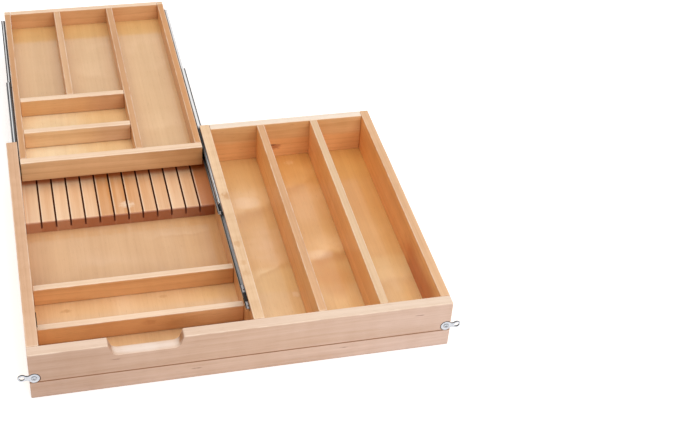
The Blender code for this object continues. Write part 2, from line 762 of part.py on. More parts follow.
def build_rails(tray):
    cabinet_span = (CABINET_RAIL_FRONT, CABINET_RAIL_BACK)
    middle_span = (MOVING_RAIL_FRONT + MIDDLE_TRAVEL, MIDDLE_RAIL_BACK + MIDDLE_TRAVEL)
    tray_span = (MOVING_RAIL_FRONT + TRAY_TRAVEL, TRAY_RAIL_BACK + TRAY_TRAVEL)
    # Each ball cage lies in the stretch that its two rails share at this end of the travel.
    outer_span = (middle_span[0] + CAGE_END_MARGIN, cabinet_span[1] - CAGE_END_MARGIN)
    inner_span = (tray_span[0] + CAGE_END_MARGIN, middle_span[1] - CAGE_END_MARGIN)

    cabinet_mouth = RAIL_THICKNESS - CABINET_RAIL_STEP
    middle_mouth = RAIL_THICKNESS - MIDDLE_RAIL_STEP
    tray_mouth = INNER_CAGE_WEB + CAGE_METAL + 2 * FIT_GAP
    outer_depths = (RAIL_METAL + FIT_GAP, cabinet_mouth - RAIL_METAL - FIT_GAP)
    inner_depths = (INNER_CAGE_WEB, middle_mouth - RAIL_METAL - FIT_GAP)
    outer_half = MIDDLE_HALF + BALL_CHANNEL / 2 + CAGE_METAL / 2
    inner_half = TRAY_RAIL_HALF + BALL_CHANNEL / 2 + CAGE_METAL / 2

    cabinet_section = channel_section(0.0, RAIL_HEIGHT / 2, cabinet_mouth, RAIL_METAL, RAIL_LIP)
    middle_section = channel_section(MIDDLE_WEB, MIDDLE_HALF, middle_mouth, RAIL_METAL, RAIL_LIP)
    tray_section = channel_section(RAIL_THICKNESS, TRAY_RAIL_HALF, tray_mouth, RAIL_METAL, 0.0)
    for side, hand in ((-1, "left"), (1, "right")):
        cabinet = add_rail(f"{hand}_cabinet_rail", cabinet_section, cabinet_span, side, "rail_steel")
        punch_screw_holes(cabinet, (STOP_BACK, CABINET_RAIL_BACK), side, 0.0)
        build_stop(hand, side)
        middle = add_frame(f"{hand}_middle_slide", (rail_seat(side), middle_span[0], RAIL_CENTRE))
        add_rail(f"{hand}_middle_rail", middle_section, middle_span, side, "rail_steel", middle)
        rail = add_rail(f"{hand}_tray_rail", tray_section, tray_span, side, "rail_steel", tray)
        punch_screw_holes(rail, tray_span, side, RAIL_THICKNESS - RAIL_METAL)
        build_cage(f"{hand}_outer_ball_cage", outer_depths, outer_half, outer_span, side)
        build_cage(f"{hand}_inner_ball_cage", inner_depths, inner_half, inner_span, side)


def build_stop(hand, side):
    seat = rail_seat(side)
    near = seat - side * (RAIL_METAL + FIT_GAP)
    far = seat - side * (rail_groove_depth(side) - FIT_GAP + RAIL_STOP_PROUD)
    half_height = RAIL_HEIGHT / 2 - RAIL_METAL - RAIL_LIP - FIT_GAP
    board(
        f"{hand}_rail_stop",
        (min(near, far), STOP_FRONT, RAIL_CENTRE - half_height),
        (max(near, far), STOP_BACK, RAIL_CENTRE + half_height),
        "stop_plastic",
    )


def clip_outline():
    # Two round lobes joined by a neck, whose hollow sides are arcs tangent to both lobes.
    large = CLIP_LARGE_RADIUS + CLIP_NECK_RADIUS
    small = CLIP_SMALL_RADIUS + CLIP_NECK_RADIUS
    neck_x = (CLIP_SPACING**2 + large**2 - small**2) / (2 * CLIP_SPACING)
    neck_z = sqrt(large**2 - neck_x**2)
    large_angle = atan2(neck_z, neck_x)
    small_angle = atan2(neck_z, neck_x - CLIP_SPACING)
    edge = arc((0.0, 0.0), CLIP_LARGE_RADIUS, large_angle, 2 * pi - large_angle, 2 * ARC_STEPS)
    edge += arc((neck_x, -neck_z), CLIP_NECK_RADIUS, pi - large_angle, pi - small_angle)[1:]
    edge += arc((CLIP_SPACING, 0.0), CLIP_SMALL_RADIUS, -small_angle, small_angle, 2 * ARC_STEPS)[1:]
    edge += arc((neck_x, neck_z), CLIP_NECK_RADIUS, pi + small_angle, pi + large_angle)[1:-1]
    return edge


def build_clips():
    for side, hand, tilt in ((-1, "left", LEFT_CLIP_TILT), (1, "right", -RIGHT_CLIP_TILT)):
        pivot = (clip_x(side), FRONT_FACE + CLIP_THICKNESS / 2, CLIP_HEIGHT)
        loops = [
            clip_outline(),
            circle((0.0, 0.0), CLIP_SCREW_HOLE_RADIUS),
            circle((CLIP_SPACING, 0.0), CLIP_OPEN_HOLE_RADIUS),
        ]
        loops = [[(side * x, z) for x, z in loop] for loop in loops]
        mesh = pierced_mesh(f"{hand}_clip", loops, CLIP_THICKNESS, ACROSS)
        clip = add_part(f"{hand}_clip", mesh, "clip_zinc", pivot)
        clip.rotation_euler = (0.0, tilt, 0.0)
        build_clip_screw(f"{hand}_clip_screw", (clip_x(side), FRONT_FACE, CLIP_HEIGHT))


def build_clip_screw(name, place):
    # A turned profile: domed head outside the clip, then the shank into the front board.
    dome_radius = (CLIP_SCREW_HEAD_RADIUS**2 + CLIP_SCREW_HEAD_RISE**2) / (2 * CLIP_SCREW_HEAD_RISE)
    dome_angle = asin(CLIP_SCREW_HEAD_RADIUS / dome_radius)
    dome_centre = FIT_GAP + CLIP_SCREW_HEAD_RISE - dome_radius
    profile = arc((0.0, dome_centre), dome_radius, pi / 2, pi / 2 - dome_angle, ARC_STEPS // 2)
    profile += [(CLIP_SCREW_SHANK_RADIUS, FIT_GAP), (CLIP_SCREW_SHANK_RADIUS, -CLIP_SCREW_LENGTH)]
    profile += [(0.0, -CLIP_SCREW_LENGTH)]
    mesh = bpy.data.meshes.new(name)
    edges = [(index, index + 1) for index in range(len(profile) - 1)]
    mesh.from_pydata([(radius, 0.0, height) for radius, height in profile], edges, [])
    part = add_part(name, mesh, "screw_steel", place)
    part.rotation_euler = (pi / 2, 0.0, 0.0)
    turned = part.modifiers.new("turned", "SCREW")
    turned.steps = CIRCLE_STEPS
    turned.render_steps = CIRCLE_STEPS
    turned.use_merge_vertices = True
    turned.merge_threshold = WELD_DISTANCE
    turned.use_smooth_shade = True


def main():
    build_front_board()
    build_walls()
    build_back_board("left_back_board", LEFT_BAY_LEFT, LEFT_BAY_RIGHT, LOW_BOARD_TOP)
    build_back_board("right_back_board", RIGHT_BAY_LEFT, RIGHT_BAY_RIGHT, BOX_HEIGHT)
    build_bottom_panel()
    build_right_dividers()
    build_cross_dividers()
    build_knife_block()
    tray = build_tray()
    build_rails(tray)
    build_clips()


main()
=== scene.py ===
import math
import bmesh
import bpy
import numpy as np
from mathutils import Matrix, Vector


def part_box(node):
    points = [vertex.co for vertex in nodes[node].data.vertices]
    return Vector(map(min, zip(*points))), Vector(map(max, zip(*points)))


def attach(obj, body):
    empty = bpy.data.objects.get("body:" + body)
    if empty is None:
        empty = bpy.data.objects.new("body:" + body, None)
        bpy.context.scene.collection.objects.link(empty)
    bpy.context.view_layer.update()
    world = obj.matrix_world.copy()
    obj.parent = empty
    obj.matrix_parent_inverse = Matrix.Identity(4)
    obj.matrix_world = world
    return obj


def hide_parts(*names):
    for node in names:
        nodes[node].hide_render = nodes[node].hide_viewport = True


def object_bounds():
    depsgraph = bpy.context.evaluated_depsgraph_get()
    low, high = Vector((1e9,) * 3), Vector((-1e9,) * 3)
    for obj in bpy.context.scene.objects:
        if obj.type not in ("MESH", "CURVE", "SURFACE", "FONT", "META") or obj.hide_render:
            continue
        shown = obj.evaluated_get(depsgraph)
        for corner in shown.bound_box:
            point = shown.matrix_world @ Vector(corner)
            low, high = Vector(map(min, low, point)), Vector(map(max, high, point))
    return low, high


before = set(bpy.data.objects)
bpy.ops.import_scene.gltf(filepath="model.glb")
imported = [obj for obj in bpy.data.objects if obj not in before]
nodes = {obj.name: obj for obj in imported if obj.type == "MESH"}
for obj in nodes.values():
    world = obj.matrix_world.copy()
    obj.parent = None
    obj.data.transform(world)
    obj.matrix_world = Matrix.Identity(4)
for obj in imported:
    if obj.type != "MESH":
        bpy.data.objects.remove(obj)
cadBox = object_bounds()
scene = bpy.context.scene
scene.view_settings.view_transform = "Standard"
print("frame loaded:", len(nodes), "nodes")


def paint(code):  # a colour written as sRGB hex, given back in linear light
    parts = np.array([int(code[at:at + 2], 16) for at in (1, 3, 5)]) / 255
    linear = np.where(parts <= 0.04045, parts / 12.92, ((parts + 0.055) / 1.055) ** 2.4)
    return (*linear.tolist(), 1.0)


shadeSteps = ((0.10, 0.14, 0.20), (-0.16, -0.23, -0.31))  # of red, green and blue, which moves most


def shades(code, spread):  # a pale and a deep shade either side of one colour
    middle = np.array(paint(code)[:3])
    sides = (middle * (1 + spread * np.array(steps)) for steps in shadeSteps)
    return [(*side.clip(0, 1).tolist(), 1.0) for side in sides]


def mathMethod(operation, flipped=False):
    def method(self, *others):
        values = (self, *others)
        return self.math(operation, *(values[::-1] if flipped else values))

    return method


class Value:
    # one socket of a finish; arithmetic on it adds Math nodes
    def __init__(self, finish, socket):
        self.finish = finish
        self.socket = socket

    def math(self, operation, *values):
        return self.finish.make("ShaderNodeMath", {"operation": operation}, dict(enumerate(values)))

    __add__ = __radd__ = mathMethod("ADD")
    __sub__ = mathMethod("SUBTRACT")
    __rsub__ = mathMethod("SUBTRACT", flipped=True)
    __mul__ = __rmul__ = mathMethod("MULTIPLY")
    __truediv__ = mathMethod("DIVIDE")
    __rtruediv__ = mathMethod("DIVIDE", flipped=True)
    __pow__ = mathMethod("POWER")
    size = mathMethod("ABSOLUTE")
    fraction = mathMethod("FRACT")
    floor = mathMethod("FLOOR")
    root = mathMethod("SQRT")
    smallest = mathMethod("MINIMUM")
    largest = mathMethod("MAXIMUM")

    def clamped(self):
        return self.largest(0.0).smallest(1.0)

    def rise(self, low, high):  # 0 below low, 1 above high, an S curve between them
        sockets = {0: self, 1: low, 2: high, 3: 0.0, 4: 1.0}
        return self.finish.make("ShaderNodeMapRange", {"interpolation_type": "SMOOTHSTEP"}, sockets)


class Finish:
    # a material or world under construction
    def __init__(self, owner, shader="Principled BSDF"):
        owner.use_nodes = True
        self.owner = owner
        self.tree = owner.node_tree
        self.shader = self.tree.nodes[shader]

    def plug(self, socket, value):
        if isinstance(value, Value):
            self.tree.links.new(value.socket, socket)
        else:
            socket.default_value = paint(value) if isinstance(value, str) else value  # a string is a colour

    def node(self, kind, settings, sockets):
        made = self.tree.nodes.new(kind)
        for key, value in settings.items():
            setattr(made, key, value)
        for key, value in sockets.items():
            self.plug(made.inputs[key], value)
        return made

    def make(self, kind, settings, sockets, output=0):
        return Value(self, self.node(kind, settings, sockets).outputs[output])

    def place(self):
        return self.make("ShaderNodeTexCoord", {}, {}, "Object")

    def split(self, vector):
        made = self.node("ShaderNodeSeparateXYZ", {}, {0: vector})
        return [Value(self, output) for output in made.outputs]

    def facing(self):
        return self.split(self.make("ShaderNodeNewGeometry", {}, {}, "Normal"))

    def noise(self, vector, rates, shift=(0.0, 0.0, 0.0), detail=2.0, roughness=0.5):
        place = self.make("ShaderNodeMapping", {}, {"Vector": vector, "Location": shift, "Scale": rates})
        sockets = {"Vector": place, "Scale": 1.0, "Detail": detail, "Roughness": roughness}
        return self.make("ShaderNodeTexNoise", {}, sockets)

    def blend(self, factor, first, second, mode="MIX"):
        settings = {"data_type": "RGBA", "blend_type": mode}
        return self.make("ShaderNodeMix", settings, {0: factor, 6: first, 7: second}, 2)

    def bump(self, height, strength, distance):
        return self.make("ShaderNodeBump", {}, {"Strength": strength, "Distance": distance, "Height": height})

    def surface(self, sockets):
        for key, value in sockets.items():
            self.plug(self.shader.inputs[key], value)
        return self.owner


def newFinish(name):
    return Finish(bpy.data.materials.new(name))


# Camera, solved from the straight edges of the box

cameraPlan = {
    "place": (-0.319514, -1.539337, 1.596008),
    "forward": (0.22168486, 0.7420434, -0.63263529),
    "right": (0.96944332, -0.23760854, 0.0610068),
    "lens": 72.27,
    "sensor": 36.0,
    "farClip": 30.0,
}


def addCamera(plan):
    forward = Vector(plan["forward"]).normalized()
    right = Vector(plan["right"]).normalized()
    turned = Matrix((right, right.cross(forward), -forward)).transposed().to_4x4()
    data = bpy.data.cameras.new("photoCamera")
    data.lens = plan["lens"]
    data.sensor_width = plan["sensor"]
    data.sensor_fit = "HORIZONTAL"
    data.clip_end = plan["farClip"]
    made = bpy.data.objects.new("photoCamera", data)
    made.matrix_world = Matrix.Translation(plan["place"]) @ turned
    scene.collection.objects.link(made)
    scene.camera = made


addCamera(cameraPlan)


# Light and the white surroundings

lightPlan = {  # place, aim, size, power and colour
    "overhead": ((-0.15, 0.75, 2.3), (0.0, 0.40, 0.0), (2.6, 2.2), 28.0, "#FFF8F0"),
    "front": ((0.9, -2.3, 1.7), (0.0, 0.1, 0.05), (1.8, 1.5), 37.0, "#FFFAF7"),
}
surroundings = {
    "ambient": 0.52,
    "floorColour": "#F4F4F4",
    "floorGlow": 0.45,
    "floorReach": 6.0,
    "floorDrop": 0.0004,  # below the part, clear of its plane
    "floorCloud": (3.0,) * 3,
}


def addLights(plan):
    for name, (place, aim, size, power, colour) in plan.items():
        data = bpy.data.lights.new(name, "AREA")
        data.shape = "RECTANGLE"
        data.size, data.size_y = size
        data.energy = power
        data.color = paint(colour)[:3]
        lamp = bpy.data.objects.new(name, data)
        lamp.location = place
        lamp.rotation_euler = (Vector(aim) - Vector(place)).to_track_quat("-Z", "Y").to_euler()
        scene.collection.objects.link(lamp)


def directRays(finish):  # 1 for rays that show the surroundings as they are: seen, mirrored or through glass
    path = finish.node("ShaderNodeLightPath", {}, {})
    names = ("Is Camera Ray", "Is Glossy Ray", "Is Transmission Ray")
    seen, mirrored, through = (Value(finish, path.outputs[name]) for name in names)
    return (seen + mirrored + through).clamped()


def addSurroundings(plan):
    world = bpy.data.worlds.new("studio")
    scene.world = world
    sky = Finish(world, "Background")
    seen = directRays(sky)
    sky.surface({"Color": "#FFFFFF", "Strength": seen * (1.0 - plan["ambient"]) + plan["ambient"]})
    corners = np.array([(-1, -1), (1, -1), (1, 1), (-1, 1)]) * plan["floorReach"]
    points = np.column_stack([corners, np.full(4, cadBox[0][2] - plan["floorDrop"])])
    mesh = bpy.data.meshes.new("floor")
    mesh.from_pydata(points.tolist(), [], [(0, 1, 2, 3)])
    floor = bpy.data.objects.new("floor", mesh)
    scene.collection.objects.link(floor)
    finish = newFinish("floorWhite")
    cloud = finish.noise(finish.place(), plan["floorCloud"])
    mesh.materials.append(finish.surface({
        "Base Color": plan["floorColour"],
        "Roughness": cloud * 0.1 + 0.8,
        "Emission Color": finish.blend(directRays(finish), "#000000", "#FFFFFF"),
        "Emission Strength": plan["floorGlow"],
    }))


addLights(lightPlan)
addSurroundings(surroundings)
print("camera, lights and floor set")


# Wood: growth rings around a pith line beside the board, fibres and streaks drawn out along the grain

woodLook = {
    "face": "#DDA46B",
    # colour of up-facing faces: partly the tops' own grain, partly painted light from above
    "top": "#EFD0B1",
    # painted highlight along the top arrises
    "rimHighlight": "#FBE8D3",
    "mark": "#9A5C30",
    "spread": 1.25,
    "tone": 0.40,  # share of the deep shade, which ring, broad, fibre, curl and blotch move
    "ringPitch": 0.0075,
    "ring": 0.40,
    "broad": 1.25,
    "broadRate": 42.0,
    "fibre": 0.60,
    "curl": 0.35,
    "curlRate": 34.0,
    "blotch": 0.55,
    "patch": 0.0,
    "fleck": 0.30,
    "streak": 0.0,
    "endDark": 0.45,
    "rimWidth": 0.0026,
    "rimBelow": (-0.006, -0.003),  # heights from the top where the painted rim highlight begins and is full
    "foot": (0.0004, 0.0036),  # heights from the bottom where the painted shade along the foot is full and ends
    "footDark": 0.30,
    "roughness": 0.42,
    "coat": 0.25,
    "coatRoughness": 0.25,
    "tints": (),  # regions given by ramps along axes, each with the factors that its colour takes
    "spots": (),  # place, reach along x, y and z, colour and strength of knots, dashes and stains
    "glows": (),  # the same for large soft patches
    "sheens": (),  # place, half width, length, lean and strength of painted sheens: pale waves shaped like the ply's ripple figure, which stop at a line in front
    "bands": (),  # axis, place, half width of the full colour and of its soft edge, colour and strength
}
grainPatterns = {  # rates along and across the grain, detail, and sometimes roughness
    "sway": (1.4, 9.0, 2.0),
    "fibre": (9.0, 520.0, 3.0, 0.65),
    "blotch": (9.0, 24.0, 2.0),
    "ragged": (26.0, 70.0, 2.0),
    "drift": (4.0, 10.0, 2.0),
    "hazeCloud": (5.0, 12.0, 1.0),
    "wave": (9.0, 34.0, 1.0),
    "sheenCloud": (30.0, 40.0, 2.0),
    "spotEdge": (95.0, 190.0, 3.0),
    "fleck": (60.0, 1100.0, 1.0),
    "mineral": (7.0, 190.0, 2.0),
    "shineAndWear": (34.0, 60.0, 2.0),
}


def arrisNearness(parts, box, width):
    # the distance to the nearest arris is the second smallest of the distances to the box's faces
    low, high = box
    gaps = [(part - low[i]).smallest(high[i] - part).size() for i, part in enumerate(parts)]
    evenShade = gaps[0].smallest(gaps[1]).smallest(gaps[2])
    most = gaps[0].largest(gaps[1]).largest(gaps[2])
    middle = gaps[0] + gaps[1] + gaps[2] - evenShade - most
    return 1.0 - middle.rise(width * 0.25, width)


def tinted(finish, colour, parts, tints, ragged):  # each region's colour times its factors
    for ramps, factors in tints:
        inside = None
        for axis, (start, stop) in ramps.items():
            ramp = (parts["xyz".index(axis)] + ragged * (0.5 * abs(stop - start))).rise(start, stop)
            inside = ramp if inside is None else inside * ramp
        factor = finish.blend(inside, (1.0, 1.0, 1.0, 1.0), (*factors, 1.0))
        colour = finish.blend(1.0, colour, factor, "MULTIPLY")
    return colour


def spotted(finish, colour, parts, spots, ragged):  # soft ellipsoids with a ragged edge
    for place, reach, code, strength in spots:
        far = ragged * 2.4
        for part, at, size in zip(parts, place, reach):
            off = (part - at) / size
            far = far + off * off
        colour = finish.blend((1.0 - far.rise(-0.2, 1.0)) * strength, colour, code)
    return colour


def rippled(finish, colour, parts, look, wave, cloud):
    # painted sheen: behind its line it is brightest at once and dies away; a thin line of painted shade runs in
    # front
    for (atX, atY), half, length, lean, strength in look["sheens"]:
        aside = (parts[0] - atX) / half
        ahead = (parts[1] - atY - (parts[0] - atX) * lean + wave * 0.030) / length
        narrow = (1.0 - aside.size().rise(0.20, 1.0)) * (cloud * 1.6 + 0.1).clamped() * strength
        pale = ahead.rise(-0.12, 0.14) * (1.0 - ahead.rise(0.14, 1.0)) ** 1.5
        dark = ahead.rise(-0.50, -0.12) * (1.0 - ahead.rise(-0.12, 0.08))
        colour = finish.blend(pale * narrow, colour, look["paleSheen"])
        colour = finish.blend(dark * narrow * 0.5, colour, look["rippleShade"])
    return colour


def woodFinish(name, grain, box, look, shift):
    finish = newFinish(name)
    place = finish.place()
    parts = finish.split(place)
    x, y, z = parts
    along, across = (x, y) if grain == "x" else (y, x)
    low, high = box
    middle = ((np.array(low) + np.array(high)) / 2).tolist()
    acrossMiddle = middle[1] if grain == "x" else middle[0]
    patterns = {**grainPatterns, "broad": (1.8, look["broadRate"], 3.0), "curl": (look["curlRate"], 9.0, 2.0)}

    def grained(pattern):  # 0 to 1
        alongRate, acrossRate, *fineness = patterns[pattern]
        rates = (alongRate, acrossRate, acrossRate) if grain == "x" else (acrossRate, alongRate, acrossRate)
        return finish.noise(place, rates, shift, *fineness)

    def swinging(pattern):  # about zero
        return grained(pattern) - 0.5

    # growth rings, their late wood a thin dark line
    sway = swinging("sway")
    offAcross = across - (acrossMiddle + look["pithSide"]) + sway * 0.022
    offUp = z - (middle[2] + look["pithUp"]) + sway * 0.018
    radius = (offAcross * offAcross + offUp * offUp).root()
    ring = (radius / look["ringPitch"] + sway * 0.9).fraction()
    late = ring ** 3.0 * (1.0 - ring.rise(0.88, 1.0))

    # broad streaks, clouds of deeper wood, fine fibres, and the curl that crosses the grain
    broad, blotch, fibre, curl = (swinging(pattern) for pattern in ("broad", "blotch", "fibre", "curl"))
    tone = look["tone"] + late * look["ring"] + broad * look["broad"] + blotch * look["blotch"]
    tone = (tone + fibre * look["fibre"] + curl * look["curl"]).clamped()

    normal = finish.facing()
    # up-facing faces take the paler top colour: partly their own grain, partly painted light from above
    face = finish.blend(tone, *shades(look["face"], look["spread"]))
    top = finish.blend(tone, *shades(look["top"], look["spread"] * 0.7))
    colour = finish.blend(normal[2].rise(0.30, 0.92), face, top)

    if look["patch"]:  # pale hazes of rotary-cut ply, its figure with a painted sheen: each swells towards the front and stops at a wavy line
        saw = (swinging("drift") * 2.8 - along * look["patchRate"]).fraction()
        paleSheen = saw ** 2.0 * (1.0 - saw.rise(0.70, 1.0)) * grained("hazeCloud").rise(0.44, 0.70)
        colour = finish.blend(paleSheen * look["patch"], colour, look["paleSheen"])
    if look["sheens"]:
        colour = rippled(finish, colour, parts, look, swinging("wave"), grained("sheenCloud"))
    colour = tinted(finish, colour, parts, look["tints"], swinging("ragged"))
    colour = spotted(finish, colour, parts, look["glows"], blotch * 0.6 + curl * 0.3)
    colour = spotted(finish, colour, parts, look["spots"], swinging("spotEdge"))

    fleck = grained("fleck").rise(0.64, 0.80)
    colour = finish.blend(fleck * look["fleck"], colour, look["mark"])
    if look["streak"]:  # a few long mineral lines
        line = grained("mineral").rise(0.70, 0.79)
        colour = finish.blend(line * look["streak"], colour, look["mark"])
    for axis, at, inner, outer, code, strength in look["bands"]:
        near = 1.0 - (parts["xyz".index(axis)] - at).size().rise(inner, outer)
        colour = finish.blend(near * strength, colour, code)

    # end grain is darker; a painted highlight, broken up like wear, runs along the top arrises, and painted
    # shade along the foot
    ends = (normal[0] if grain == "x" else normal[1]).size().rise(0.80, 0.94)
    endTone = (0.45 + late * 0.9 + fibre * 0.6).clamped()
    colour = finish.blend(ends * endTone * look["endDark"], colour, look["mark"])
    shineAndWear = grained("shineAndWear").rise(0.36, 0.66)
    rimHighlight = arrisNearness(parts, box, look["rimWidth"]) * (z - high[2]).rise(*look["rimBelow"])
    colour = finish.blend(rimHighlight * (shineAndWear * 0.35 + 0.12), colour, look["rimHighlight"])
    foot = 1.0 - (z - low[2]).rise(*look["foot"])
    colour = finish.blend(foot * look["footDark"], colour, look["mark"])

    height = late * 0.35 + fibre * 0.8 - fleck * 0.6
    gloss = look["roughness"] + fibre * 0.16 + curl * 0.10 - rimHighlight * 0.06
    return finish.surface({
        "Base Color": colour,
        "Roughness": gloss.clamped(),
        "Normal": finish.bump(height, 0.18, 0.00025),
        "Coat Weight": look["coat"],
        "Coat Roughness": look["coatRoughness"],
    })


plyLook = {
    "broadRate": 90.0,
    "broad": 0.95,
    "fibre": 0.45,
    "curl": 0.28,
    "blotch": 0.85,
    "ring": 0.15,
    "spread": 1.0,
    "patchRate": 9.0,
    "coatRoughness": 0.14,
    # painted sheen, and the painted shade in front of it
    "paleSheen": "#F3D0A6",
    "rippleShade": "#B4733A",
}
rimFace = (0.0927, 0.0921)  # ramps that leave out the tops of the tall and of the low boards
crossFace = (0.0497, 0.0491)
trayLap = ("y", 1.0069, 0.0063, 0.0066, "#E9CAA9", 0.85)  # the back's end grain, painted on the sides


def dash(x, z, half, strength):  # a short dark line on the front board's face
    return (x, -0.010, z), (half, 0.02, 0.0014), "#80563F", strength


def lying(z, deep, rows):  # spots or glows on a level face: x, y, half widths, colour and strength of each
    return [((x, y, z), (wide, long, deep), code, strength) for x, y, wide, long, code, strength in rows]


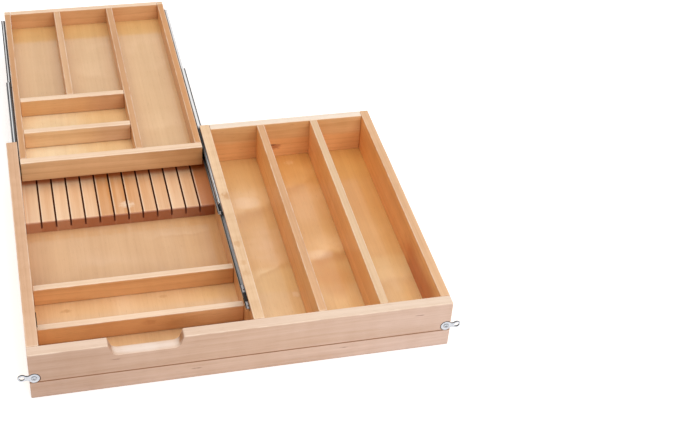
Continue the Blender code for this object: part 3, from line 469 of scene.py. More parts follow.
boards = {
    "front_board": ("x", {
        "face": "#CBA88F", "top": "#DFC3AC", "streak": 0.5, "endDark": 0.25, "ring": 0.22, "broad": 0.9,
        "broadRate": 75.0, "mark": "#8F6248",
        "tints": (
            # painted light: the face darker to the left and lighter to the right, and the top lighter to the
            # right; the third row is the lower strip's own tone
            ({"x": (0.0, -0.34), "z": rimFace}, (0.89, 0.87, 0.87)),
            ({"x": (0.0, 0.34), "z": rimFace}, (1.09, 1.17, 1.30)),
            ({"z": (0.0350, 0.0338)}, (1.05, 1.08, 1.12)),
            ({"x": (0.0, 0.2), "z": (0.0922, 0.0928)}, (1.06, 1.12, 1.15)),
        ),
        "spots": (
            dash(-0.0806, 0.0198, 0.011, 0.75),
            dash(-0.2083, 0.0623, 0.009, 0.65),
            dash(0.2867, 0.0746, 0.009, 0.75),
            dash(0.1606, 0.0237, 0.012, 0.65),
            ((-0.1040, 0.001, 0.0830), (0.008, 0.0105, 0.0125), "#A9713F", 0.75),
        ),
        "glows": (((-0.1600, 0.0, 0.0710), (0.075, 0.0100, 0.008), "#F2E6DE", 0.5),),
        "bands": (("z", 0.0344, 0.0009, 0.0017, "#A87248", 0.75),),
    }),
    "left_wall": ("y", {
        "top": "#D4A882", "curl": 0.8, "curlRate": 40.0,
        "tints": (({"y": (0.10, 0.02)}, (1.05, 1.12, 1.22)),),
    }),
    "centre_wall": ("y", {
        "top": "#E4C097", "curl": 1.3, "curlRate": 46.0,
        "spots": lying(0.093, 0.03, (
            (0.0265, 0.331, 0.009, 0.014, "#C0864A", 0.75),
            (0.0216, 0.197, 0.008, 0.010, "#C89257", 0.5),
            (0.0226, 0.148, 0.008, 0.009, "#C89257", 0.5),
            (0.0220, 0.122, 0.008, 0.009, "#C89257", 0.45),
        )),
    }),
    "right_wall": ("y", {
        "face": "#EFAF68", "top": "#DDB084",
        "tints": (({"x": (0.340, 0.332), "y": (0.235, 0.160), "z": (0.084, 0.048)}, (0.67, 0.37, 0.14)),),
    }),
    "left_back_board": ("x", {}),
    "right_back_board": ("x", {
        "face": "#E4AC70", "streak": 0.5,
        "tints": (({"z": (0.051, 0.061)}, (1.03, 1.20, 1.42)),),
        "spots": (
            ((0.158, 0.533, 0.0375), (0.017, 0.02, 0.0075), "#A85C34", 0.75),
            ((0.153, 0.533, 0.0425), (0.008, 0.02, 0.0022), "#70361C", 0.85),
        ),
    }),
    "right_bay_divider_1": ("y", {"face": "#F3B66E", "top": "#D2A172", "streak": 0.35}),
    "right_bay_divider_2": ("y", {
        "face": "#EDB26C", "top": "#DAB78F",
        "tints": (({"y": (0.40, 0.50), "z": rimFace}, (1.06, 1.12, 1.35)),),
    }),
    "cross_divider_front": ("x", {
        "face": "#DDA068",
        "tints": (
            ({"x": (-0.22, -0.30), "z": crossFace}, (1.36, 1.55, 1.65)),
            ({"x": (-0.11, -0.05), "z": crossFace}, (1.18, 1.38, 1.70)),
        ),
        "spots": (((-0.144, 0.0895, 0.0385), (0.014, 0.02, 0.007), "#B46C3A", 0.4),),
    }),
    "cross_divider_rear": ("x", {"face": "#DAA26A"}),
    "tray_front": ("x", {
        "face": "#DFB384",
        "tints": (({"x": (-0.16, -0.02), "z": rimFace}, (0.75, 0.62, 0.48)),),
    }),
    "tray_back": ("x", {"face": "#DFAB78"}),
    "tray_left_side": ("y", {"top": "#C6905C", "bands": (trayLap,)}),
    "tray_right_side": ("y", {"top": "#CE9358", "bands": (trayLap,)}),
    "tray_long_divider": ("y", {"top": "#CC9866"}),
    "tray_short_divider": ("y", {"top": "#D5A779"}),
    "tray_cross_divider_front": ("x", {
        "face": "#E6BE90",
        "tints": (
            ({"x": (-0.18, -0.30), "z": rimFace}, (1.08, 1.10, 1.08)),
            ({"x": (-0.20, -0.15), "z": rimFace}, (0.88, 0.86, 0.93)),
        ),
    }),
    "tray_cross_divider_rear": ("x", {
        "face": "#DEA974",
        "tints": (
            ({"x": (-0.20, -0.15), "z": rimFace}, (0.84, 0.81, 0.88)),
            ({"x": (-0.22, -0.30), "z": rimFace}, (1.03, 1.06, 1.0)),
        ),
    }),
    "bottom_panel": ("y", {
        **plyLook, "face": "#D9A86C", "top": "#D9AA70", "patch": 0.35, "coat": 0.8,
        "tints": (
            ({"x": (0.030, 0.020)}, (0.97, 0.93, 0.95)),
            ({"x": (-0.08, 0.0), "y": (0.20, 0.22)}, (0.96, 0.88, 0.80)),
            ({"x": (0.020, 0.030)}, (1.07, 1.20, 1.26)),
            ({"x": (0.180, 0.026)}, (1.0, 1.06, 1.22)),
            ({"x": (0.125, 0.132), "y": (0.30, 0.48)}, (0.99, 0.88, 0.70)),
            ({"x": (0.225, 0.240), "y": (0.20, 0.34)}, (0.97, 0.91, 0.78)),
            ({"x": (0.225, 0.240), "y": (0.36, 0.48)}, (1.01, 1.14, 1.36)),
            ({"x": (-0.08, -0.02), "y": (0.14, 0.16)}, (1.0, 0.98, 0.86)),
            # these last two are painted light: the fronts of the right bays and of the bin in front brightened
            # where shade falls
            ({"x": (0.020, 0.030), "y": (0.19, 0.05)}, (1.20, 1.22, 1.20)),
            ({"x": (0.030, 0.020), "y": (0.21, 0.18)}, (1.22, 1.33, 1.42)),
        ),
        "sheens": (
            ((0.084, 0.379), 0.065, 0.115, 0.35, 0.62),
            ((0.195, 0.231), 0.065, 0.080, 0.31, 0.70),
            ((0.082, 0.204), 0.045, 0.035, 0.45, 0.35),
            ((0.290, 0.150), 0.060, 0.070, 0.20, 0.22),
            ((-0.060, 0.328), 0.080, 0.020, 0.05, 0.16),
            ((0.185, 0.440), 0.050, 0.060, 0.60, 0.25),
        ),
        "glows": lying(0.015, 0.01, (
            # the first two are painted highlights where the sheens are brightest
            (0.0720, 0.400, 0.034, 0.022, "#FBE6CB", 0.45),
            (0.1800, 0.234, 0.030, 0.018, "#FBE6CB", 0.36),
            (0.1900, 0.172, 0.050, 0.060, "#D08E42", 0.62),
            (0.0900, 0.275, 0.045, 0.075, "#F0D2AE", 0.45),
            (0.1850, 0.375, 0.050, 0.080, "#EFCDA2", 0.25),
        )),
        "spots": lying(0.015, 0.01, (
            (0.1134, 0.1385, 0.008, 0.009, "#F6DCB8", 0.5),
            (0.1826, 0.5084, 0.012, 0.008, "#F0CB97", 0.4),
            (0.2310, 0.485, 0.006, 0.050, "#EFC48B", 0.45),
            (-0.274, 0.164, 0.010, 0.005, "#BC8650", 0.5),
            (-0.109, 0.172, 0.010, 0.005, "#BC8650", 0.4),
            (-0.225, 0.120, 0.012, 0.006, "#C08A52", 0.35),
        )),
    }),
    "tray_floor": ("y", {
        **plyLook, "face": "#CFAA7B", "top": "#D8B17F", "patch": 0.25, "coat": 0.9, "spread": 0.9,
        "tints": (
            ({"x": (-0.105, -0.095)}, (1.02, 1.02, 1.01)),
            # painted shade: a golden band along the back
            ({"y": (0.935, 0.952)}, (1.01, 0.99, 0.82)),
            ({"y": (0.70, 0.68), "x": (-0.10, -0.12)}, (1.22, 1.28, 1.27)),
            ({"y": (0.70, 0.68), "x": (-0.16, -0.26)}, (1.06, 1.24, 1.60)),
            ({"y": (0.58, 0.56), "x": (-0.10, -0.12)}, (1.07, 1.12, 1.20)),
        ),
        "sheens": (((-0.05, 0.60), 0.060, 0.10, 0.10, 0.20), ((-0.16, 0.80), 0.05, 0.08, -0.2, 0.20)),
    }),
}


def dress(name, material):
    slots = nodes[name].data.materials
    slots.clear()
    slots.append(material)


def dressBoards(table):
    draw = np.random.default_rng(41)
    for name, (grain, changes) in table.items():
        shift = tuple(draw.uniform(-9.0, 9.0, 3).tolist())
        pith = {  # where the tree's heart lay beside the board
            "pithSide": float(draw.choice((-1, 1)) * draw.uniform(0.04, 0.09)),
            "pithUp": float(draw.uniform(-0.05, 0.05)),
        }
        dress(name, woodFinish(name + "Wood", grain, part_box(name), {**woodLook, **pith, **changes}, shift))


dressBoards(boards)
print("boards finished:", len(boards))


# Knife block: glued strips between the slots, each from its own stick of wood

knifeLook = {
    "pitch": 0.0257,
    "pale": "#F4CFA9",
    "deep": "#CF9054",
    "streak": ((75.0, 3.0, 75.0), (4.0, 1.0, 2.0)),  # rates and shift of each noise
    "fibre": ((620.0, 10.0, 620.0), (1.0, 7.0, 3.0)),
    "swirl": ((120.0, 200.0, 120.0), (6.0, 2.0, 5.0)),
    "brownReach": (1.2, 1.8),  # strips from the middle where the browner board ends
    "red": "#C1743F",
    "redFrom": 5.5,  # strips from the middle to the red one at the right end
    # painted highlight along each strip's left edge
    "edge": "#FBE3C6",
    "edgeAt": 0.10,  # share of the strip
    "knot": {"place": (-0.142, 0.402), "reach": (0.017, 0.011), "colour": "#FBE8CF", "strength": 0.66},
    # painted shadow of the tray's front: where it falls, how it fades and its colour
    "cover": 0.498,  # y of the tray's front
    "trayShadowReach": (-0.016, -0.004),
    "trayShadowColour": "#C05A08",
    "nose": "#A2562A",
    "noseDark": "#8E4B24",
    # painted shade in the slots
    "slotShade": "#8C3C18",
    "kerfDepth": (0.008, 0.010),
    "roughness": 0.36,
    "coat": 0.25,
    "coatRoughness": 0.25,
}


def knifeBlockFinish(name, box, look):
    finish = newFinish(name)
    place = finish.place()
    x, y, z = finish.split(place)
    low, high = box
    middle = (low[0] + high[0]) / 2
    normal = finish.facing()
    steps = (x - middle) / look["pitch"] + 0.5
    strip = steps.floor()
    random = finish.make("ShaderNodeTexWhiteNoise", {"noise_dimensions": "1D"}, {"W": strip + 3.7})
    shifted = finish.make("ShaderNodeCombineXYZ", {}, {0: x, 1: y + random * 3.0, 2: z})
    streak = finish.noise(shifted, *look["streak"], 3.0)
    fibre = finish.noise(shifted, *look["fibre"], 3.0, 0.65)

    # the sticks grow browner to the right, and the middle three come from a browner board
    lean = (x - low[0]) / (high[0] - low[0])
    brown = 1.0 - (steps - 0.5).size().rise(*look["brownReach"])
    tone = (random * 0.28 + streak * 0.9 + (fibre - 0.5) * 0.5 + lean * 0.45 + brown * 0.36 - 0.43).clamped()
    colour = finish.blend(tone, look["pale"], look["deep"])
    lastStrip = (x - (middle + look["pitch"] * look["redFrom"])).rise(-0.0004, 0.0004)
    colour = finish.blend(lastStrip * 0.8, colour, look["red"])
    # painted highlight along the left edge of each strip, beside its slot
    edge = 1.0 - (steps - strip - look["edgeAt"]).size().rise(0.02, 0.06)
    colour = finish.blend(edge * 0.5, colour, look["edge"])

    # one pale knot near the front
    spot = look["knot"]
    offX, offY = ((part - at) / size for part, at, size in zip((x, y), spot["place"], spot["reach"]))
    swirl = finish.noise(place, *look["swirl"], 3.0, 0.6)
    knot = 1.0 - (offX * offX + offY * offY + (swirl - 0.5) * 2.4).rise(-0.5, 1.2)
    colour = finish.blend(knot * spot["strength"], colour, spot["colour"])

    # painted shadow where the tray's front hangs over it; the rounded nose is darker
    trayShadow = (y - look["cover"]).rise(*look["trayShadowReach"])
    colour = finish.blend(trayShadow * 0.80, colour, look["trayShadowColour"])
    nose = (normal[1] * -1.0).rise(0.25, 0.95) * (0.84 + lean * 0.12 + (random - 0.5) * 0.12)
    colour = finish.blend(nose, colour, finish.blend(lean, look["nose"], look["noseDark"]))

    # painted shade in the slots, on their walls and floors
    kerfWall = normal[0].size().rise(0.6, 0.8)
    kerfFloor = (high[2] - z).rise(*look["kerfDepth"]) * normal[2].rise(0.6, 0.8)
    slotShade = kerfWall.largest(kerfFloor)
    colour = finish.blend(slotShade * 0.94, colour, look["slotShade"])
    return finish.surface({
        "Base Color": colour,
        "Roughness": (look["roughness"] + (fibre - 0.5) * 0.2 + slotShade * 0.5).clamped(),
        "Normal": finish.bump(fibre, 0.15, 0.00025),
        "Coat Weight": (1.0 - slotShade.largest(trayShadow)) * look["coat"],
        "Coat Roughness": look["coatRoughness"],
    })


dress("knife_block", knifeBlockFinish("knifeBlockStrips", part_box("knife_block"), knifeLook))
print("knife block finished")


# Metal and moulded plastic

metalLooks = {
    # bright, dull and dark colours, share of metal, roughness, and the stretch of its drawn lines
    "rail": ("#F2F3F4", "#C8CACD", "#202124", 0.7, 0.34, (900.0, 12.0, 900.0)),
    "tip": ("#98979A", "#707074", "#2C2C2F", 0.6, 0.40, (600.0, 60.0, 600.0)),
    "cage": ("#B4B6B8", "#6C6E72", "#2E2E30", 1.0, 0.36, (700.0, 30.0, 700.0)),
    "clip": ("#D3D7DD", "#9AA1AC", "#24272D", 1.0, 0.24, (420.0,) * 3),
    "screw": ("#D3D7DD", "#9AA1AC", "#24272D", 1.0, 0.24, (500.0,) * 3),
    "ball": ("#FFFFFF", "#FAFAFA", "#E4E4E4", 0.0, 0.18, (500.0,) * 3),
}
plasticLook = {"dark": "#101011", "pale": "#1E1E20", "roughness": 0.42, "shine": 0.15, "grit": (2400.0,) * 3}


def metalFinish(name, look, shade):
    # drawn or plated metal; shade tells from the finish, the place and the facing where it is dark
    bright, dull, shadeColour, metal, roughness, stretch = look
    finish = newFinish(name)
    place = finish.place()
    line = finish.noise(place, stretch, (3.0, 1.0, 2.0), 3.0, 0.6)
    cloud = finish.noise(place, (70.0, 22.0, 70.0), (1.0, 5.0, 4.0), 3.0)
    tone = (line * 0.5 + cloud * 0.9 - 0.35).clamped()
    colour = finish.blend(tone, bright, dull)
    dark = shade(finish, finish.split(place), finish.facing())
    return finish.surface({
        # the dark colour goes where the shade mask paints shade
        "Base Color": finish.blend(dark, colour, shadeColour),
        "Metallic": metal,
        "Roughness": (roughness + (line - 0.5) * 0.16 + (cloud - 0.5) * 0.14 + dark * 0.15).clamped(),
        "Normal": finish.bump(line, 0.10, 0.0001),
    })


def plasticFinish(name, look):
    finish = newFinish(name)
    grit = finish.noise(finish.place(), look["grit"])
    return finish.surface({
        "Base Color": finish.blend(grit, look["dark"], look["pale"]),
        "Roughness": grit * 0.15 + look["roughness"],
        "Specular IOR Level": look["shine"],
        "Normal": finish.bump(grit, 0.2, 0.0001),
    })


def edgeShade(finish, parts, normal):  # dark on the cut edges of a plate that faces the front
    return (1.0 - normal[1].size().rise(0.80, 0.995)) * 0.92


def plainShade(finish, parts, normal):  # a touch of grey under the rounded sides
    return (1.0 - normal[2].rise(0.0, 0.6)) * 0.5


clipZinc = metalFinish("clipZinc", metalLooks["clip"], edgeShade)
stopPlastic = plasticFinish("stopPlastic", plasticLook)


# Surfaces for the rails, balls, stops and screws: an array of points and a list of arrays of faces

hands = ("left", "right")
sharpAngle = math.radians(40)


def makePiece(name, shape, material, body, replaced=()):
    points, blocks = shape
    mesh = bpy.data.meshes.new(name)
    mesh.from_pydata(points.tolist(), [], [face for block in blocks for face in block.tolist()])
    work = bmesh.new()
    work.from_mesh(mesh)
    bmesh.ops.recalc_face_normals(work, faces=work.faces)
    work.to_mesh(mesh)
    work.free()
    mesh.polygons.foreach_set("use_smooth", np.ones(len(mesh.polygons), bool))
    mesh.set_sharp_from_angle(angle=sharpAngle)
    mesh.materials.append(material)
    piece = bpy.data.objects.new(name, mesh)
    scene.collection.objects.link(piece)
    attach(piece, body)
    if replaced:
        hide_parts(*replaced)


def merged(shapes):  # several surfaces as one: each block of faces moves past the points before it
    allPoints, allBlocks, count = [], [], 0
    for points, blocks in shapes:
        allPoints.append(points)
        allBlocks += [block + count for block in blocks]
        count += len(points)
    return np.concatenate(allPoints), allBlocks


def ringQuads(rows, size):  # the quads between rows of points that each close on themselves
    start, at = np.meshgrid(np.arange(rows - 1) * size, np.arange(size), indexing="ij")
    after = (at + 1) % size
    corners = [start + at, start + after, start + size + after, start + size + at]
    return np.stack(corners, axis=-1).reshape(-1, 4)


def bentPath(corners, bend, steps, count):
    # a polyline whose inner corners are quadratic curves that start and end one bend away, evenly spaced anew
    corners = np.asarray(corners, float)
    inner = corners[1:-1]
    t = np.linspace(0, 1, steps)[None, :, None]
    start, stop = (
        (inner + way / np.linalg.norm(way, axis=1)[:, None] * bend)[:, None]
        for way in (corners[:-2] - inner, corners[2:] - inner)
    )
    curves = (1 - t) ** 2 * start + 2 * t * (1 - t) * inner[:, None] + t ** 2 * stop
    path = np.concatenate([corners[:1], curves.reshape(-1, 2), corners[-1:]])
    walked = np.concatenate([[0.0], np.cumsum(np.linalg.norm(np.diff(path, axis=0), axis=1))])
    even = np.linspace(0, walked[-1], count)
    return np.column_stack([np.interp(even, walked, side) for side in path.T])


def stripSurface(path, metal, stations, placeAt):
    # a strip of metal: the path moved half its thickness to each side, carried through the stations and closed
    step = np.gradient(path, axis=0)
    normal = np.column_stack([step[:, 1], -step[:, 0]]) / np.linalg.norm(step, axis=1)[:, None]
    loop = np.concatenate([path + normal * metal / 2, (path - normal * metal / 2)[::-1]])
    size, rows = len(loop), len(stations)
    first, second = (np.repeat(loop[None, :, i], rows, axis=0) for i in (0, 1))
    third = np.repeat(np.asarray(stations, float)[:, None], size, axis=1)
    half = np.arange(size // 2 - 1)
    cap = np.stack([half, half + 1, size - 2 - half, size - 1 - half], axis=-1)
    blocks = [ringQuads(rows, size), cap[:, ::-1], cap + (rows - 1) * size]
    return placeAt(first, second, third).reshape(-1, 3), blocks


def latheSurface(profile, turns, placeAt):
    # a profile of (radius, height) turned about its axis, its first and last points on the axis
    profile = np.asarray(profile, float)
    angle = np.linspace(0, 2 * math.pi, turns, endpoint=False)
    body = profile[1:-1]
    rows = len(body)
    ways = (np.cos(angle), np.sin(angle))
    u, v = (np.concatenate([[0.0], (body[:, :1] * way).ravel(), [0.0]]) for way in ways)
    w = np.concatenate([profile[:1, 1], np.repeat(body[:, 1], turns), profile[-1:, 1]])
    at = np.arange(turns)
    after = (at + 1) % turns
    last = 1 + (rows - 1) * turns
    lowCap = np.stack([np.zeros(turns, int), 1 + after, 1 + at], axis=-1)
    highCap = np.stack([np.full(turns, last + turns), last + at, last + after], axis=-1)
    return placeAt(u, v, w), [1 + ringQuads(rows, turns), lowCap, highCap]


# Telescopic rails: depth in mm from the groove's back towards the tray, height in mm from the centre line

rolled = {"metal": 1.2, "round": 1.5}
pressed = {"metal": 0.6, "round": 0.8, "shineAndWear": {}}
railPlan = {
    # bends: depth of each bend of the upper half, and how far below the node's top edge it lies
    # race: depth of the painted bright line, or of the balls; and for one hand, how its painted shine and shade
    # differ
    "cabinet_rail": {
        "bends": ((0.6, 0.6), (6.9, 0.6), (6.9, 2.5)), **rolled,
        "race": 3.75, "web": 0.6, "body": "box",
        "shineAndWear": {"right": {"race": 2.5, "broad": 1.5, "evenShade": 0.32}},
    },
    "middle_rail": {
        "bends": ((3.0, 0.6), (10.8, 0.6), (10.8, 2.5)), **rolled,
        "race": 6.6, "web": 3.0, "body": "{}_middle",
        "shineAndWear": {"right": {"race": 9.0, "old": (0.375, 0.500, 0.546, 0.560)}},
    },
    "tray_rail": {
        "bends": ((12.1, 0.6), (5.1, 0.6)), **rolled,
        "race": 8.4, "web": 12.1, "body": "tray",
        "shineAndWear": {"right": {"race": 6.2, "broad": 2.2}},
    },
    "outer_ball_cage": {
        "bends": ((1.8, 0.3), (6.0, 0.3)), **pressed,
        "race": 3.75, "web": 1.8, "body": "{}_outer_cage",
    },
    "inner_ball_cage": {
        "bends": ((4.2, 0.3), (9.9, 0.3)), **pressed,
        "race": 6.9, "web": 4.2, "body": "{}_inner_cage",
    },
    "ballRadius": 1.15,
    "ballsPerRow": 6,
    "endBalls": ((6.8, -11.2, 0.0052), (6.8, -11.2, 0.0013)),  # depth, height and y behind the rail's front
    "lever": {"depths": (11.3, 12.75), "half": 8.5, "y": (484.0, 549.0), "rounding": 0.4},
}
# painted shine and shade of the rails
railShadeLook = {
    "broad": 0.0,  # mm that the painted shine reaches further to either side
    "evenShade": 0.0,  # painted shade all over
    "old": None,  # y where painted shade in the gap beside the tray begins, is full, thins and ends
    "oldDark": 0.97,
    "clearShift": 1.6,  # behind that shade the painted shine lies further out and is broader
    "clearBroad": 1.3,
    "edge": (0.45, 1.35),  # mm beside the shine
    "corner": (8.0, 5.0),  # mm from the top and bottom edges
    "web": (0.8, 1.6),  # mm off the web
    "mottle": (300.0, 14.0, 300.0),
    "mottleDark": (0.4, 0.70),
}


def railSeat(hand):  # x at the groove's back, the way from there to the tray, and the centre line's height
    low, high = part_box(f"{hand}_cabinet_rail")
    return (low[0] if hand == "left" else high[0]), (1 if hand == "left" else -1), (low[2] + high[2]) / 2


def railPlace(hand):  # from depth and height in mm and y in metres
    seat, turn, centre = railSeat(hand)

    def placeAt(depth, height, y):
        return np.stack([seat + turn * depth * 0.001, y, centre + height * 0.001], axis=-1)

    return placeAt


def channelPath(spec, half, steps, count):  # the lower half's bends, then the upper half's
    upper = [(depth, half - below) for depth, below in spec["bends"]]
    lower = [(depth, -height) for depth, height in reversed(upper)]
    return bentPath(lower + upper, spec["round"], steps, count)


def raceShade(hand, spec, half):
    # flanges take a painted highlight along the race; their edges and the web's corners take painted shade
    seat, turn, centre = railSeat(hand)
    look = {**railShadeLook, "race": spec["race"], **spec["shineAndWear"].get(hand, {})}

    def shade(finish, parts, normal):
        depth = (parts[0] - seat) * (turn * 1000.0)
        height = ((parts[2] - centre) * 1000.0).size()
        mottle = finish.noise(finish.place(), look["mottle"])
        flange = normal[2].size().rise(0.5, 0.8)
        off, broad, old = depth - look["race"], look["broad"], 0.0
        if look["old"]:
            begins, full, thins, ends = look["old"]
            clear = parts[1].rise(thins, ends)
            off = off + clear * look["clearShift"]
            broad = clear * look["clearBroad"]
            old = parts[1].rise(begins, full) * (1.0 - clear) * look["oldDark"]
        beside = (off.size() - broad).rise(*look["edge"])
        nearWeb = 1.0 - (depth - spec["web"]).size().rise(*look["web"])
        corner = height.rise(*(half - gap for gap in look["corner"])) * nearWeb
        slope, base = look["mottleDark"]
        dark = ((flange * beside + (1.0 - flange) * corner) * (mottle * slope + base)).clamped()
        return dark.largest(look["evenShade"]).largest(old)

    return shade


def turnedAt(placeAt, depth, height, y):  # a lathed piece whose axis runs along the rail
    return lambda u, v, w: placeAt(depth + u, height + v, y + w * 0.001)


def standingAt(placeAt, depth, height, y):  # a lathed piece that stands up on a flange
    return lambda u, v, w: placeAt(depth + u, height + w, y + v * 0.001)


def addRail(hand, kind, plan):
    spec = plan[kind]
    node = f"{hand}_{kind}"
    low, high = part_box(node)
    half = (high[2] - low[2]) * 500
    stations = np.concatenate([[low[1]], np.linspace(low[1] + 0.001, high[1] - 0.001, 12), [high[1]]])
    shape = stripSurface(channelPath(spec, half, 9, 120), spec["metal"], stations, railPlace(hand))
    material = metalFinish(node + "Steel", metalLooks["rail"], raceShade(hand, spec, half))
    makePiece(node + "_rolled", shape, material, spec["body"].format(hand), [node])


def ballSurface(radius, placeAt):
    arc = np.linspace(0, math.pi, 13)
    return latheSurface(np.column_stack([np.sin(arc), -np.cos(arc)]) * radius, 20, placeAt)


def addEndBalls(hand, plan, material):
    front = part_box(f"{hand}_middle_rail")[0][1]
    placeAt = railPlace(hand)
    places = [turnedAt(placeAt, depth, height, front + behind) for depth, height, behind in plan["endBalls"]]
    shape = merged([ballSurface(plan["ballRadius"], place) for place in places])
    makePiece(f"{hand}_middle_rail_end_balls", shape, material, f"{hand}_middle")


def addLever(hand, spec):  # the black lever that frees the tray from its rail
    low, high = zip(spec["depths"], (-spec["half"], spec["half"]), spec["y"])
    shape = roundedBlock(low, high, spec["rounding"], railPlace(hand))
    makePiece(f"{hand}_tray_rail_lever", shape, stopPlastic, "tray")


def evenly(front, back, count):  # the middles of so many equal lengths
    return front + (back - front) * (np.arange(count) + 0.5) / count


def addCage(hand, kind, plan):
    spec = plan[kind]
    node = f"{hand}_{kind}"
    placeAt = railPlace(hand)
    low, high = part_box(node)
    half = (high[2] - low[2]) * 500
    row = half - spec["bends"][-1][1]
    stations = np.linspace(low[1], high[1], 5)
    shapes = [stripSurface(channelPath(spec, half, 7, 80), spec["metal"], stations, placeAt)]
    for y in evenly(low[1], high[1], plan["ballsPerRow"]):
        for height in (-row, row):
            shapes.append(ballSurface(plan["ballRadius"], turnedAt(placeAt, spec["race"], height, y)))
    material = metalFinish(node + "Steel", metalLooks["cage"], raceShade(hand, spec, half))
    makePiece(node + "_pressed", merged(shapes), material, spec["body"].format(hand), [node])


ballSteel = metalFinish("ballSteel", metalLooks["ball"], plainShade)
for hand in hands:
    for kind in ("cabinet_rail", "middle_rail", "tray_rail"):
        addRail(hand, kind, railPlan)
    addEndBalls(hand, railPlan, ballSteel)
    for kind in ("outer_ball_cage", "inner_ball_cage"):
        addCage(hand, kind, railPlan)
print("rails and ball cages built")


# Black stops behind the rails' tips, and the steel tab at the tip of one; sizes in mm

stopPlan = {
    "rounding": 0.9,
    "face": 1.0,  # how far the ribs stand out of the block; tall is a share of its height
    "tail": {"length": 4.0, "lap": 2.0, "deep": 1.9, "tall": 0.7, "rounding": 0.6},
    "ribs": {"count": 3, "margin": 2.0, "deep": 3.0, "half": 0.8, "tall": 0.86, "rounding": 0.5},
}
tipPlan = {
    "hand": "right",
    "wall": 7.55,  # depth of the wall's face
    "reach": 12.2,
    "top": 15.2,
    "leaf": 6.0,
    "metal": 0.8,
    "bend": 1.2,
    "tab": (-42.8, 14.5),  # along the rail from the stop's front, like the eyelets and the cap
    "eyelet": {"along": (-36.3, 3.1), "depth": 9.4, "radius": 1.4, "rise": 0.3},
    "cap": {"along": (-25.5, -3.5), "off": 0.1, "below": 5.0, "past": 0.2, "above": 0.9, "rounding": 0.7},
}


def roundedBlock(low, high, rounding, placeAt):
    # an inner block's corners pushed out by a ball: each direction on the sphere moves to its octant's corner
    steps = np.concatenate([np.linspace(4, 86, 5), np.linspace(94, 176, 5)])
    turns = np.radians(np.concatenate([steps, steps + 180]))
    tilts = np.radians(np.concatenate([np.linspace(-88, -4, 6), np.linspace(4, 88, 6)]))
    tilt, turn = np.meshgrid(tilts, turns, indexing="ij")
    way = np.stack([np.cos(tilt) * np.cos(turn), np.cos(tilt) * np.sin(turn), np.sin(tilt)], axis=-1)
    low, high = np.asarray(low, float), np.asarray(high, float)
    points = (low + high) / 2 + np.sign(way) * ((high - low) / 2 - rounding) + way * rounding
    rows, size = tilt.shape
    around = np.arange(size)
    caps = np.stack([around[::-1], around + (rows - 1) * size])
    depth, height, y = points.reshape(-1, 3).T
    return placeAt(depth, height, y * 0.001), [ringQuads(rows, size), caps]


def addStop(hand, plan):
    # a block, a thinner tail behind it and ribs across its open side
    seat, turn, centre = railSeat(hand)
    placeAt = railPlace(hand)
    node = f"{hand}_rail_stop"
    low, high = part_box(node)
    half = (high[2] - low[2]) * 500
    near, far = sorted((corner[0] - seat) * turn * 1000 for corner in (low, high))
    front, back = low[1] * 1000, high[1] * 1000
    tail, ribs = plan["tail"], plan["ribs"]
    middle = back - tail["length"]

    def block(depths, tall, along, rounding):
        return roundedBlock(*zip(depths, (-half * tall, half * tall), along), rounding, placeAt)

    shapes = [
        block((near, far - plan["face"]), 1.0, (front, middle), plan["rounding"]),
        block((near, near + tail["deep"]), tail["tall"], (middle - tail["lap"], back), tail["rounding"]),
    ]
    for at in np.linspace(front + ribs["margin"], middle - ribs["margin"], ribs["count"]):
        along = (at - ribs["half"], at + ribs["half"])
        shapes.append(block((far - ribs["deep"], far), ribs["tall"], along, ribs["rounding"]))
    makePiece(node + "_moulded", merged(shapes), stopPlastic, "box", [node])


def addTip(plan, material):
    # an angle of sheet steel on the wall's face, two eyelets in it, and the stop's cap between them
    hand, reach, top, eyelet, cap = (plan[key] for key in ("hand", "reach", "top", "eyelet", "cap"))
    placeAt = railPlace(hand)
    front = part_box(f"{hand}_rail_stop")[0][1]
    leaf = plan["wall"] + plan["metal"] / 2
    sheet = top - plan["metal"] / 2
    path = bentPath([(leaf, sheet - plan["leaf"]), (leaf, sheet), (reach, sheet)], plan["bend"], 9, 40)
    ends = front + np.array(plan["tab"]) * 0.001
    shape = stripSurface(path, plan["metal"], np.linspace(*ends, 5), placeAt)
    makePiece(f"{hand}_rail_tip_tab", shape, material, "box")

    arc = np.linspace(0, math.pi / 2, 9)
    radius, rise = eyelet["radius"], eyelet["rise"]
    dome = np.column_stack([np.sin(arc) * radius, np.cos(arc) * rise])
    profile = np.concatenate([dome, [(radius, -rise), (0.0, -rise)]])
    places = [standingAt(placeAt, eyelet["depth"], top, front + along * 0.001) for along in eyelet["along"]]
    shape = merged([latheSurface(profile, 24, place) for place in places])
    makePiece(f"{hand}_rail_tip_eyelets", shape, stopPlastic, "box")

    depths = (plan["wall"] + cap["off"], reach + cap["past"])
    heights = (top - cap["below"], top + cap["above"])
    low, high = zip(depths, heights, (front * 1000 + along for along in cap["along"]))
    shape = roundedBlock(low, high, cap["rounding"], placeAt)
    makePiece(f"{hand}_rail_stop_cap", shape, stopPlastic, "box")


for hand in hands:
    addStop(hand, stopPlan)
    addLever(hand, railPlan["lever"])
addTip(tipPlan, metalFinish("tipSteel", metalLooks["tip"], plainShade))
print("stops built")


# Screws: a dome with a cross recess; sizes in mm

screwPlan = {
    # radius and rise of the head, half width, reach and depth of the cross
    "clip": (4.6, 1.2, 0.62, 2.5, 1.15),
    "cabinet": (2.35, 0.14, 0.4, 1.4, 0.6),
    "tip": (4.4, 2.4, 0.6, 2.4, 1.0),
    "tray": (3.4, 1.2, 0.5, 1.9, 0.9),
    "shank": (2.1, 1.4, 1.0),  # radius, end radius and taper, of the clips' screws
    "neck": (0.6, 0.5),  # share of the head and length, of the rails' screws
    "webs": (1.2, 11.5),  # depths of the cabinet and tray rails' inner faces
    "perRail": 3,
}


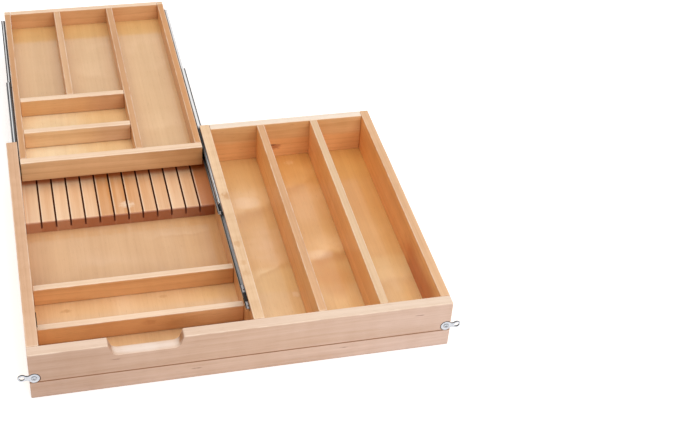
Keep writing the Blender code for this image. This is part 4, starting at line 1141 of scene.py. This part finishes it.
def screwSurface(spec, tail, placeAt):
    # height over the seat in mm: a dome, less the cross where either arm of it passes and the driver's tip ends
    radius, rise, half, crossReach, depth = spec
    reach = np.linspace(0.0, 1.0, 34) ** 0.8 * radius
    ball = (radius ** 2 + rise ** 2) / (2 * rise)
    dome = np.sqrt(ball ** 2 - reach ** 2) - (ball - rise)
    profile = np.concatenate([np.column_stack([reach, dome]), np.array(tail, float)])

    def cut(u, v, w):
        arm = np.minimum(np.abs(u), np.abs(v))
        far = np.hypot(u, v)
        inside = np.clip((half - arm) / 0.18 + 0.5, 0, 1) * np.clip((crossReach - far) / 0.25, 0, 1)
        sunk = inside * depth * (1.1 - 0.5 * far / crossReach)
        return placeAt(u, v, np.where(w > -0.02, w - sunk, w))

    return latheSurface(profile, 96, cut)


def screwShade(finish, parts, normal):  # the recess and the dome's skirt are dark
    face = normal[1].size().largest(normal[0].size())
    return (1.0 - face.rise(0.80, 0.985)) * 0.95


def addClipScrew(hand, plan, material):
    node = f"{hand}_clip_screw"
    rise = plan["clip"][1]
    radius, endRadius, taper = plan["shank"]
    low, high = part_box(node)
    centreX, centreZ = (low[0] + high[0]) / 2, (low[2] + high[2]) / 2
    seatY = low[1] + rise * 0.001
    length = (high[1] - seatY) * 1000
    tail = ((radius, 0.0), (radius, taper - length), (endRadius, -length), (0.0, -length))

    def placeAt(u, v, w):
        return np.stack([centreX + u * 0.001, seatY - w * 0.001, centreZ + v * 0.001], axis=-1)

    shape = screwSurface(plan["clip"], tail, placeAt)
    makePiece(node + "_turned", shape, material, "box", [node])


def headAt(placeAt, depth, way, y):  # a head seated on a rail's web
    return lambda u, v, w: placeAt(depth + way * w, v, y + u * 0.001)


def addRailScrews(hand, plan, material):
    placeAt = railPlace(hand)
    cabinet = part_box(f"{hand}_cabinet_rail")
    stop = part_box(f"{hand}_rail_stop")
    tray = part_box(f"{hand}_tray_rail")
    outer, inner = plan["webs"]
    rows = (
        ("cabinet", outer, 1, "box", evenly(stop[1][1], cabinet[1][1], plan["perRail"])),
        ("tip", outer, 1, "box", evenly(cabinet[0][1], stop[0][1], 1)),
        ("tray", inner, -1, "tray", evenly(tray[0][1], tray[1][1], plan["perRail"])),
    )
    share, length = plan["neck"]
    for kind, depth, way, body, places in rows:
        neck = plan[kind][0] * share  # of the head's radius
        tail = ((neck, 0.0), (neck, -length), (0.0, -length))
        shapes = [screwSurface(plan[kind], tail, headAt(placeAt, depth, way, y)) for y in places]
        makePiece(f"{hand}_{kind}_rail_screws", merged(shapes), material, body)


screwSteel = metalFinish("screwSteel", metalLooks["screw"], screwShade)
for hand in hands:
    addClipScrew(hand, screwPlan, screwSteel)
    addRailScrews(hand, screwPlan, screwSteel)
print("screws built")


# Stamped clips: the CAD plates with their edges rolled over

clipPlan = {"weld": 0.00001, "edge": 0.0006, "segments": 3, "angle": 50}


def roundClip(name, plan):
    clip = nodes[name]
    weld = clip.modifiers.new("weld", "WELD")
    weld.merge_threshold = plan["weld"]
    bevel = clip.modifiers.new("rolledEdge", "BEVEL")
    bevel.width = plan["edge"]
    bevel.segments = plan["segments"]
    bevel.limit_method = "ANGLE"
    bevel.angle_limit = math.radians(plan["angle"])
    dress(name, clipZinc)


for hand in hands:
    roundClip(f"{hand}_clip", clipPlan)
print("clips finished")
